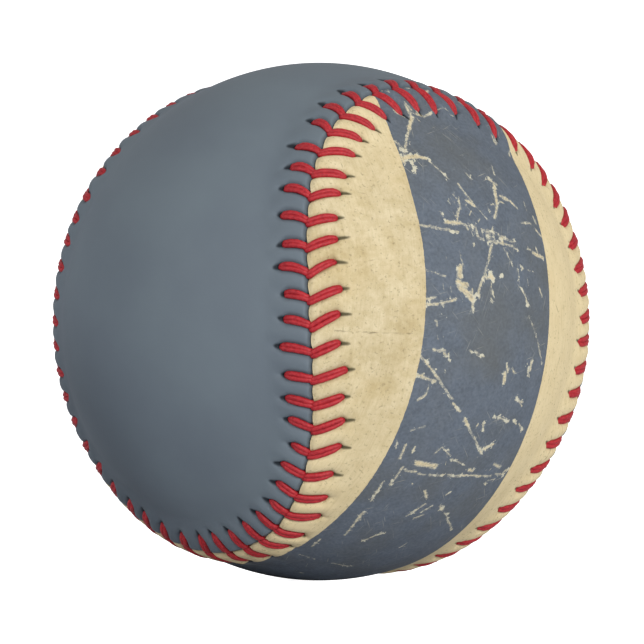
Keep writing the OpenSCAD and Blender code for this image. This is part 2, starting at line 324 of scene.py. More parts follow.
for layer in (hollow_inward.outputs[0], packed.outputs["Mesh"], tube.outputs[0]):
    winding.links.new(layer, joined.inputs[0])
shaded = add_node(winding, "GeometryNodeSetShadeSmooth", {}, {"Geometry": joined})
real = add_node(winding, "GeometryNodeRealizeInstances", {}, {"Geometry": shaded})
coloured = add_node(winding, "GeometryNodeSetMaterial", {},
                    {"Geometry": real, "Material": given.outputs["Yarn"]})
add_node(winding, "NodeGroupOutput", {}, {"Winding": coloured})

# The ball turns slowly under the yarn, about two axes, so each turn crosses the last at a slant. The
# yarn climbs as the layer fills, and its last turns lie a little under the layer's outside.
POINTS_A_TURN = 44
TURNED_ROUND = 0.0613
TURNED_OVER = 0.0171
LAST_TURN_UNDER_SHARE = 0.56
PACKED_UNDER_SHARE = 0.45
grey_tones, pale_grey_tones = ("#4c545c", "#838d96"), ("#4c545c", "#8b949c")
white_tones, cotton_tones = ("#b9b4a6", "#ece8dc"), ("#cfc8b4", "#f1ecdf")
for node, slot, finish, tones, rough, width, plies, inside, outside, climb, turns, sides in (
        ("grey_wool_winding_inner", "grey_wool", "four_ply_grey_wool", grey_tones, 0.95, 1.6, 4,
         16.82, 31.37, 2.2, 190, 5),
        ("white_wool_winding", "white_wool", "three_ply_white_wool", white_tones, 0.95, 1.3, 3,
         31.42, 33.12, 0.3, 190, 5),
        ("grey_wool_winding_outer", "grey_wool", "three_ply_grey_wool", pale_grey_tones, 0.95, 1.3, 3,
         33.17, 35.39, 0.8, 190, 5),
        ("cotton_finish_winding", "white_cotton", "cemented_cotton", cotton_tones, 0.6, 0.3, 2,
         35.44, 35.90, 0.1, 300, 4)):
    turn = np.arange(turns * POINTS_A_TURN) / POINTS_A_TURN
    round_it, over_it = 2 * math.pi * TURNED_ROUND * turn, 2 * math.pi * TURNED_OVER * turn
    axis = np.stack([np.sin(over_it) * np.cos(round_it), np.sin(over_it) * np.sin(round_it),
                     np.cos(over_it)], -1)
    first = np.stack([-np.sin(round_it), np.cos(round_it), np.zeros(len(turn))], -1)
    way = first * np.cos(2 * math.pi * turn)[:, None] \
        + np.cross(axis, first) * np.sin(2 * math.pi * turn)[:, None]
    reach = outside - LAST_TURN_UNDER_SHARE * width - climb * (1 - turn / turns)
    path = bpy.data.meshes.new(node)
    path.from_pydata((way * reach[:, None] * MM).tolist(), [(i, i + 1) for i in range(len(turn) - 1)], [])
    wound = bring_in("wound_" + node, path)
    grow(wound, winding, {"Yarn radius": width / 2 * MM, "Yarn sides": sides, "Inside radius": inside * MM,
                          "Packed radius": (outside - climb - PACKED_UNDER_SHARE * width) * MM,
                          "Unevenness": 0.08, "Seed": 3,
                          "Yarn": wound_yarn(finish, tones, width * MM, plies, rough)})
    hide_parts(node)
    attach(wound, "root")


# THE COWHIDE PANELS
# Two figure-eight panels of tanned cowhide, 1.2 mm thick, dampened and stretched over the winding.
# Their edges butt along one seam line, and each stitch pulls the hide down and puckers it.
HIDE_THICK = 1.2
RIDGE = 1.22
WOUND_R = 35.90
RIDGE_UNDER_R = 36.65
CREST_UNDER_R = 37.25
FLAT_UNDER_R = COVER_R - HIDE_THICK
STITCHES = 108
FIRST_STITCH = 0.77
PLAIN, STRIPED = 1, -1
HOLE_IN = {PLAIN: 3.5, STRIPED: 3.6}
HOLE_BACK = {PLAIN: 0.6, STRIPED: 1.5}
PINCH_BACK = {PLAIN: 0.05, STRIPED: -0.2}
LEG_BEND = {PLAIN: 1.7, STRIPED: 1.25}
RIDGE_FOOT = 7.6
SPINE_REACH = math.radians(95)
SEAM_WAVES = (66.17, -1.56, -1.06)
SEAM_SWINGS = (16.98, -2.68, -1.03)
SEAM_TURN = -45


def on_ball(polar, lon):
    """A direction from its angle off the top and its longitude."""
    return np.stack([np.sin(polar) * np.cos(lon), np.sin(polar) * np.sin(lon), np.cos(polar)], -1)


def seam_curve(t):
    """The true line of the seam. It is closed when t has gone from 0 to 4 pi."""
    wave = sum(high * np.cos((2 * i + 1) * t) for i, high in enumerate(SEAM_WAVES))
    swing = sum(wide * np.sin((2 * i + 2) * t) for i, wide in enumerate(SEAM_SWINGS))
    return on_ball(np.radians(90 - wave), t / 2 + np.radians(swing + SEAM_TURN))


seam_t = np.linspace(0, 4 * math.pi, 14401)
seam_steps = np.linalg.norm(np.diff(seam_curve(seam_t), axis=0), axis=1)
seam_length = seam_steps.sum()
seam_at_step = np.concatenate([[0], np.cumsum(seam_steps)]) / seam_length * STITCHES
PITCH = seam_length * COVER_R / STITCHES


def hump(q, middle, reach):
    """A smooth rise and fall along the seam, by the count of stitches."""
    return np.exp(-(((q - middle + STITCHES / 2) % STITCHES - STITCHES / 2) / reach) ** 2)


def seam_point(q):
    """The seam line by the count of stitches along it, on a ball of radius 1. The panels were not
    cut quite true, so over three stretches the whole seam lies nearer to the striped one's middle."""
    true = seam_curve(np.interp(q % STITCHES, seam_at_step, seam_t))
    onward = seam_curve(np.interp((q + 0.05) % STITCHES, seam_at_step, seam_t))
    aside = 2.7 * hump(q, 2.2, 3.4) + 2.1 * hump(q, 56.8, 4.5) + 0.5 * hump(q, 69, 7) \
        + 0.4 * hump(q, 82, 4.5)
    across = np.cross(true, onward)
    moved = true - across / np.linalg.norm(across, axis=-1, keepdims=True) * (aside / COVER_R)[..., None]
    return moved / np.linalg.norm(moved, axis=-1, keepdims=True)


def seam_forward(q):
    """The way that the seam runs."""
    forward = seam_point(q + 0.05) - seam_point(q - 0.05)
    return forward / np.linalg.norm(forward, axis=-1, keepdims=True)


def beside_seam(q, side, inward):
    """A direction that lies the given millimetres from the seam line, on one panel."""
    point = seam_point(q)
    across = side * np.cross(point, seam_forward(q))
    angle = (inward / COVER_R)[..., None]
    return point * np.cos(angle) + across / np.linalg.norm(across, axis=-1, keepdims=True) * np.sin(angle)


# Hand sewing: no two stitches are quite alike. The sewing runs ahead of an even spacing at some
# counts along the seam and falls behind at others, by these shares of a stitch.
AHEAD_AT = [0, 1, 2, 3, 5, 9, 15, 19, 22, 57, 62, 65, 70, 73, 76, 79, 81, 83, 90, 94, 100, 102, 105, 107]
AHEAD = [0.85, 1.0, 1.3, 1.38, 1.5, 1.5, 1.5, 1.4, 1.4, -0.5, -0.5, -0.65, -0.57, -0.45, -0.2, -0.2, 0.1,
         0.25, 0.28, 0.19, 0.15, 0.3, 0.45, 0.6]


def stitch_at(number):
    """Where a stitch lies on the seam line, in even spacings from the line's start."""
    return number + FIRST_STITCH + np.interp(number % STITCHES, AHEAD_AT, AHEAD, period=STITCHES)


every_number = np.linspace(0, STITCHES, STITCHES * 10 + 1)
every_place = stitch_at(every_number)


def on_round(q):
    """The same place on the seam, counted in the round that starts at the first stitch."""
    return (q - every_place[0]) % STITCHES + every_place[0]


def stitch_number(q):
    """The count of stitches sewn up to a place on the seam line."""
    return np.interp(on_round(q), every_place, every_number)


# One seed gives every stitch its own small slips.
sewing = np.random.RandomState(7)
hole_in = {side: HOLE_IN[side] + sewing.normal(0, 0.17, STITCHES) for side in (PLAIN, STRIPED)}
hole_back = {side: HOLE_BACK[side] + sewing.normal(0, 0.16, STITCHES) for side in (PLAIN, STRIPED)}
pinch_back = {side: PINCH_BACK[side] + sewing.normal(0, 0.05, STITCHES) for side in (PLAIN, STRIPED)}
leg_spread = {side: 0.29 + sewing.normal(0, 0.02, STITCHES) for side in (PLAIN, STRIPED)}
leg_twist = {side: sewing.normal(0, 0.35, STITCHES) for side in (PLAIN, STRIPED)}
slit_long = {PLAIN: 0.85 + sewing.uniform(-0.2, 0.3, STITCHES),
             STRIPED: 1.6 + sewing.uniform(-0.4, 0.5, STITCHES)}
# The slits are longer or shorter over some stretches of the seam.
slit_long[PLAIN][100:] += 0.5
slit_long[PLAIN][74:88] += 0.4
slit_long[STRIPED][76:87] -= 1.1
slit_turn = {side: sewing.normal(0, 0.15, STITCHES) for side in (PLAIN, STRIPED)}
hole_narrow = {side: sewing.uniform(0.35, 1.0, STITCHES) for side in (PLAIN, STRIPED)}
puff_by_stitch = {side: 0.18 + sewing.uniform(-0.05, 0.05, STITCHES) for side in (PLAIN, STRIPED)}
wave_a, wave_b = sewing.uniform(0, 6.28, 2)
hole_in[PLAIN][56:81] -= 0.45
# The stitches at the front, and those at its upper right edge, reach further or less far than the
# rest, and lie at other slopes.
FRONT = slice(81, 106)
LIMB = [105, 106, 107, 0, 1, 2, 3, 4, 5, 6, 7, 8]
hole_in[PLAIN][FRONT] = [3.6, 3.3, 3.3, 3.2, 2.7, 3.1, 3.4, 2.6, 3.4, 3.9, 4.0, 4.5, 3.7, 3.4, 4.0,
                         3.4, 3.8, 3.7, 3.4, 3.7, 3.3, 3.6, 3.3, 2.6, 3.2]
hole_in[STRIPED][FRONT] = [3.1, 3.5, 3.7, 3.9, 4.1, 3.6, 3.2, 3.5, 3.6, 3.4, 3.9, 3.1, 3.3, 3.8, 3.1,
                           3.4, 3.3, 3.4, 3.7, 3.8, 3.6, 3.9, 3.7, 4.1, 4.3]
hole_back[PLAIN][FRONT] = [0.3, 0.4, 0.4, 0.5, 0.5, 0.7, 0.7, 0.7, 1.0, 0.6, 0.5, 1.0, 1.2, 1.1, 1.3,
                           0.7, 1.1, 1.4, 1.0, 0.7, 1.5, 1.2, 1.2, 0.9, 1.1]
hole_back[STRIPED][FRONT] = [0.4, 0.3, 0.5, 0.1, 0.8, 0.5, 0.8, 1.3, 1.3, 0.9, 1.0, 1.1, 1.5, 1.4, 1.6,
                             1.3, 0.9, 1.4, 1.0, 1.9, 1.4, 1.2, 1.0, 0.7, 0.5]
hole_in[STRIPED][LIMB] = [4.0, 4.1, 3.0, 3.0, 3.4, 2.8, 2.9, 3.3, 3.7, 3.8, 3.8, 3.8]
hole_back[STRIPED][LIMB] = [1.1, 1.4, 2.1, 1.8, 1.1, 1.3, 1.8, 1.5, 1.7, 1.5, 1.5, 1.5]
hole_narrow[STRIPED][:24] = 1.0
leg_spread[STRIPED][:24] += 0.02
sunk = {PLAIN: np.full(STITCHES, 0.50), STRIPED: 0.50 - 0.20 * hump(np.arange(STITCHES), 4, 3.5)}


def seam_wander(q):
    """How far the line where the two edges meet wanders towards the plain panel."""
    drift = np.interp(on_round(q) % STITCHES, [78, 81, 85, 87, 90, 92, 95, 99, 103, 106],
                      [0.1, -0.05, -0.05, 0.2, 0.4, 0.45, 0.4, 0.3, 0.2, 0])
    return drift + 0.10 * np.cos(2 * math.pi * (stitch_number(q) - 0.5)) + 0.05 * np.sin(2.3 * q + wave_a) \
        + 0.04 * np.sin(5.1 * q + wave_b)


def drawn_over(q, side, inward):
    """The hide near the seam lies as far aside as the seam wanders."""
    return inward + side * seam_wander(q) * np.exp(-(inward / 1.6) ** 2)


def leg_back(k, side, inward):
    """How far behind the point of stitch k its thread lies, at a distance from the seam."""
    rest = np.clip(1 - inward / hole_in[side][k], 0, 1)
    return hole_back[side][k] - (hole_back[side][k] - pinch_back[side][k]) * rest ** LEG_BEND[side]


def smooth(low, high, value):
    """Rises from 0 to 1 between two values, with soft ends."""
    x = np.clip((value - low) / (high - low), 0, 1)
    return x * x * (3 - 2 * x)


# What one stitch does to the hide, in millimetres. The leg of thread presses a groove into it. The
# hole gapes in a dimple, and a slit and a fold run on from it. A puff stands between two legs.
GROOVE_WIDE = 0.82
HOLE_WIDE = 0.36
HOLE_DEEP = 0.62
DIMPLE_DEEP = 0.12
DIMPLE_LONG = 1.3
SLIT_WIDE = {PLAIN: 0.36, STRIPED: 0.22}
FOLD_WIDE = {PLAIN: 0.42, STRIPED: 0.3}
FOLD_DEEP = 0.28
PUFF_WIDE = 0.85
SEAM_DIP = {PLAIN: 0.34, STRIPED: 0.14}
SEAM_DIP_WIDE = 0.42


def hide_relief(q, side, inward):
    """Height of the hide over the flat of the cover, and the distances to the nearest thread and to
    the nearest slit, all in millimetres."""
    total = np.zeros(np.broadcast(q, inward).shape)
    nearest_thread = np.full(total.shape, np.inf)
    nearest_slit = np.full(total.shape, np.inf)
    first = np.floor(stitch_number(q)).astype(int)
    pulled = np.zeros(total.shape)
    for step in (-1, 0, 1, 2):
        k = (first + step) % STITCHES
        back = (on_round(q) - stitch_at(first + step)) * PITCH
        off_thread = back - leg_back(k, side, inward)
        past_hole = inward - hole_in[side][k]
        along = np.maximum(past_hole, 0)
        thread_gap = np.hypot(off_thread, along)
        nearest_thread = np.minimum(nearest_thread, thread_gap)
        groove = np.exp(-(off_thread / GROOVE_WIDE) ** 4) * (1 - smooth(-0.3, 0.7, past_hole))
        hole_gap = np.hypot(back - hole_back[side][k], (past_hole - 0.15) / 0.9)
        slit_back = back - hole_back[side][k] - slit_turn[side][k] * along
        slit_end = np.maximum(np.maximum(-past_hole, past_hole - slit_long[side][k]), 0)
        slit_gap = np.hypot(slit_back, slit_end)
        taper = 1 - np.clip(past_hole / (slit_long[side][k] + 0.2), 0, 0.95) ** 3
        nearest_slit = np.minimum(nearest_slit, slit_gap - SLIT_WIDE[side] * taper)
        dimple = np.exp(-(back - hole_back[side][k]) ** 2 / 0.5 - (past_hole / DIMPLE_LONG) ** 2)
        fold = np.exp(-(slit_back / FOLD_WIDE[side]) ** 2) * smooth(-0.3, 0.1, past_hole) \
            * (1 - smooth(0.3, 2.2, past_hole))
        hole = np.exp(-(hole_gap / HOLE_WIDE) ** 2)
        pulled += sunk[side][k] * groove + HOLE_DEEP * hole + DIMPLE_DEEP * dimple + FOLD_DEEP * fold
        between = np.exp(-((back - PITCH / 2 - leg_back(k, side, inward)) / PUFF_WIDE) ** 2)
        total += puff_by_stitch[side][k] * between * smooth(0.0, 0.7, inward) \
            * (1 - smooth(0.2, 2.6, past_hole))
    crest = RIDGE + 0.3 * hump(q, 8, 15) - 0.25 * hump(q, 3.5, 4) - 0.15 * hump(q, 68, 6)
    dip = SEAM_DIP[side] * np.exp(-(inward / SEAM_DIP_WIDE) ** 2)
    total += crest * (1 - smooth(0.2, RIDGE_FOOT, inward)) - dip - pulled
    total += 0.03 * np.sin(0.9 * q + inward / 3) * (1 - smooth(6, 9, inward))
    return total, nearest_thread, nearest_slit


# How finely the hide is drawn: points on each stitch's length and rows inwards from the seam, down
# to half as many in the middle, and few on the underside, which lies on the winding.
PER_STITCH = 16
ROWS = np.concatenate([[0.02, 0.07, 0.14, 0.22, 0.32, 0.45], np.arange(0.6, 6.3, 0.19),
                       np.arange(6.6, 9.7, 0.5)])
INNER_PER_STITCH = 8
INNER_ROWS = 20
UNDER_PER_STITCH = 2
UNDER_ROWS = 8
UNDER_ROOM = 0.06
NOT_NEAR = 9.0
SETTLES_FROM, SETTLED_AT = 7.4, 9.2
EDGE_OPENING = 0.20
EDGE_OPENING_DEEP = 0.3
EDGE_OPENING_WIDE = 0.55


def hide_panel(name, side):
    """One panel: a fine band along the seam, a coarser middle that closes along the panel's spine,
    and an underside that lies on the winding."""
    columns = STITCHES * PER_STITCH
    q = np.arange(columns) / PER_STITCH
    points, marks, faces = [], [], []

    def add_ring(directions, radii, thread_gap, slit_gap, inward):
        """A closed row of points with their distances from the seam, the thread and the slits."""
        start = sum(len(ring) for ring in points)
        points.append(directions * (radii[:, None] * MM))
        gaps = [np.broadcast_to(gap, len(directions)) for gap in (inward, thread_gap, slit_gap)]
        marks.append(np.stack(gaps, -1))
        return start + np.arange(len(directions))

    def close(a, b, c, d):
        """Squares between four rows of corners, facing outwards."""
        corners = np.stack([a, b, c, d] if side == PLAIN else [d, c, b, a], -1)
        faces.extend(corners.tolist())

    def join(outer, inner):
        """A band between two rings with equally many points."""
        close(outer, inner, np.roll(inner, -1), np.roll(outer, -1))

    def gather(outer, inner):
        """A band from a fine ring to a coarser one."""
        many = len(outer) // len(inner)
        for i in range(many):
            triangle = np.stack([outer[i::many], inner, np.roll(outer, -1)[i::many]], -1)
            faces.extend((triangle if side == PLAIN else triangle[:, ::-1]).tolist())
        last = np.roll(outer, -many)[::many]
        triangle = np.stack([last, inner, np.roll(inner, -1)], -1)
        faces.extend((triangle if side == PLAIN else triangle[:, ::-1]).tolist())

    def zip_up(ring):
        """Closes the last ring from end to end, where its two sides meet along the spine."""
        count = len(ring)
        start = count // 4 if side == PLAIN else 0
        order = [ring[(start + ((j + 1) // 2 if j % 2 else -j // 2)) % count] for j in range(count)]
        for j in range(count - 2):
            second, third = (j + 1, j + 2) if j % 2 else (j + 2, j + 1)
            triangle = (order[third], order[j], order[second])
            faces.append(triangle if side == PLAIN else triangle[::-1])

    def inner_ring(many, row, rows, under):
        """A ring part of the way from the fine band to the panel's spine."""
        each = np.arange(STITCHES * many) / many
        rim = beside_seam(each, side, np.full(each.shape, ROWS[-1]))
        around = 2 * math.pi * each / STITCHES
        if side == PLAIN:
            spine = on_ball(SPINE_REACH * np.sin(around), np.full(each.shape, math.pi / 4))
        else:
            spine = on_ball(math.pi - SPINE_REACH * np.cos(around), np.full(each.shape, -math.pi / 4))
        angle = np.arccos(np.sum(rim * spine, -1))
        share = row / (rows + 0.5)
        way = (rim * np.sin((1 - share) * angle)[:, None] + spine * np.sin(share * angle)[:, None]) \
            / np.sin(angle)[:, None]
        radii = np.full(each.shape, FLAT_UNDER_R + UNDER_ROOM if under else COVER_R)
        return add_ring(way, radii, NOT_NEAR, NOT_NEAR, ROWS[-1] + share * angle * COVER_R)

    rings = []
    for inward in ROWS:
        relief, thread_gap, slit_gap = hide_relief(q, side, np.full(columns, inward))
        settle = 1 - smooth(SETTLES_FROM, SETTLED_AT, inward)
        at_thread = np.exp(-(thread_gap / EDGE_OPENING_WIDE) ** 2)
        opening = EDGE_OPENING * at_thread * math.exp(-inward / EDGE_OPENING_DEEP)
        moved = drawn_over(q, side, inward) + opening
        radii = COVER_R + relief * settle
        rings.append(add_ring(beside_seam(q, side, moved), radii, thread_gap, slit_gap, inward))
    for outer, inner in zip(rings, rings[1:]):
        join(outer, inner)
    middle = [inner_ring(INNER_PER_STITCH, row, INNER_ROWS, False) for row in range(1, INNER_ROWS + 1)]
    gather(rings[-1], middle[0])
    for outer, inner in zip(middle, middle[1:]):
        join(outer, inner)
    zip_up(middle[-1])

    edge = beside_seam(q, side, drawn_over(q, side, ROWS[0]))
    low_edge = add_ring(edge, np.full(columns, CREST_UNDER_R), 0.0, NOT_NEAR, 0.0)
    join(low_edge, rings[0])
    coarse = np.arange(STITCHES * UNDER_PER_STITCH) / UNDER_PER_STITCH
    low = [add_ring(beside_seam(coarse, side, np.full(coarse.shape, inward)), np.full(coarse.shape, radius),
                    NOT_NEAR, NOT_NEAR, inward)
           for inward, radius in ((1.2, RIDGE_UNDER_R), (4.4, RIDGE_UNDER_R), (RIDGE_FOOT, FLAT_UNDER_R),
                                  (ROWS[-1], FLAT_UNDER_R))]
    top_faces = len(faces)
    gather(low_edge, low[0])
    for outer, inner in zip(low, low[1:]):
        join(outer, inner)
    low_middle = [inner_ring(UNDER_PER_STITCH, row, UNDER_ROWS, True) for row in range(1, UNDER_ROWS + 1)]
    gather(low[-1], low_middle[0])
    for outer, inner in zip(low_middle, low_middle[1:]):
        join(outer, inner)
    zip_up(low_middle[-1])
    faces[top_faces:] = [face[::-1] for face in faces[top_faces:]]

    panel = smooth_mesh(name, np.concatenate(points), faces)
    values = np.concatenate(marks)
    for index, mark in enumerate(("seam_mm", "thread_mm", "slit_mm")):
        attribute = panel.data.attributes.new(mark, "FLOAT", "POINT")
        attribute.data.foreach_set("value", values[:, index].astype(np.float32))
    return panel


plain_panel = hide_panel("hide_panel_plain", PLAIN)
striped_panel = hide_panel("hide_panel_striped", STRIPED)


# The finish of the plain panel: dyed, rolled smooth and waxed, so it has a soft satin shine, a
# very fine grain and faint clouds of tone. Painted shade darkens it beside the thread, in the slits
# at the holes, along the seam edge and towards the lower left. The real grain is finer than shows,
# so it is drawn half a millimetre wide.
def close_by(tree, mark, full_at, none_at, share, ending="SMOOTHSTEP"):
    """A share that fades out with one of the distances that the panel carries, in millimetres."""
    distance = add_node(tree, "ShaderNodeAttribute", {"attribute_name": mark}).outputs["Fac"]
    return add_node(tree, "ShaderNodeMapRange", {
        "interpolation_type": ending, "From Min": full_at, "From Max": none_at, "To Min": share,
        "To Max": 0.0}, {"Value": distance})


def from_spot(tree, place, spot):
    """How far a place lies from what the photograph shows at a pixel, in metres."""
    return add_node(tree, "ShaderNodeVectorMath", {
        "operation": "DISTANCE", 1: tuple(on_the_ball(*spot) * COVER_R * MM)}, {0: place}).outputs["Value"]


def lay_over(tree, under, *coats):
    """Lays coats of colour over a first one, each by the share of it that shows. A colour is a hex
    value or comes from a node."""
    for share, coat in coats:
        flat = {slot: linear(colour) for slot, colour in ((6, under), (7, coat)) if isinstance(colour, str)}
        drawn = {slot: colour for slot, colour in ((6, under), (7, coat)) if slot not in flat}
        under = add_node(tree, "ShaderNodeMix", {"data_type": "RGBA", **flat}, {0: share, **drawn}).outputs[2]
    return under


GRAIN = 0.45 * MM
DYE_CLOUD = 18 * MM
LOWER_LEFT_SHADE_AT = (95, 445)
LOWER_LEFT_SHADE_FULL, LOWER_LEFT_SHADE_NONE = 7 * MM, 23 * MM
plain_hide, tree, place = start_material("dyed_satin_cowhide")
clouds = add_node(tree, "ShaderNodeTexNoise", {"Scale": 1 / DYE_CLOUD, "Detail": 4.0}, {"Vector": place})
dye = add_node(tree, "ShaderNodeValToRGB", {"color_ramp": ((0.35, "#616a72"), (0.65, "#677178"))},
               {"Fac": clouds})
# Painted shade beside the thread.
painted_thread_shade = close_by(tree, "thread_mm", 0.5, 1.3, 0.35)
# Painted shadow in the slits at the holes.
painted_slit_shade = close_by(tree, "slit_mm", -0.15, 0.34, 0.9)
# Painted shade along the seam edge.
painted_seam_shade = close_by(tree, "seam_mm", 0.05, 0.7, 0.6, "LINEAR")
# Painted shade: the panel is darker towards the lower left.
lower_left_shade = add_node(tree, "ShaderNodeMapRange", {
    "interpolation_type": "SMOOTHSTEP", "From Min": LOWER_LEFT_SHADE_FULL, "From Max": LOWER_LEFT_SHADE_NONE, "To Min": 0.42,
    "To Max": 0.0}, {"Value": from_spot(tree, place, LOWER_LEFT_SHADE_AT)})
dye_with_painted_shade = lay_over(tree, dye, (lower_left_shade, "#2f3740"), (painted_thread_shade, "#343d48"), (painted_slit_shade, "#10151c"),
                    (painted_seam_shade, "#252b33"))
grain = add_node(tree, "ShaderNodeTexVoronoi", {"Scale": 1 / GRAIN}, {"Vector": place})
fine_relief = add_node(tree, "ShaderNodeBump", {"Strength": 0.10, "Distance": 0.06 * MM}, {"Height": grain})
slow_relief = add_node(tree, "ShaderNodeBump", {"Strength": 0.25, "Distance": 0.4 * MM},
                       {"Height": clouds, "Normal": fine_relief})
satin = add_node(tree, "ShaderNodeMapRange", {"To Min": 0.46, "To Max": 0.58}, {"Value": clouds})
finish_material(tree, {"Specular IOR Level": 0.12},
                {"Base Color": dye_with_painted_shade, "Roughness": satin, "Normal": slow_relief})
plain_panel.data.materials.append(plain_hide)
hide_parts("cover_panel_plain")
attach(plain_panel, "root")

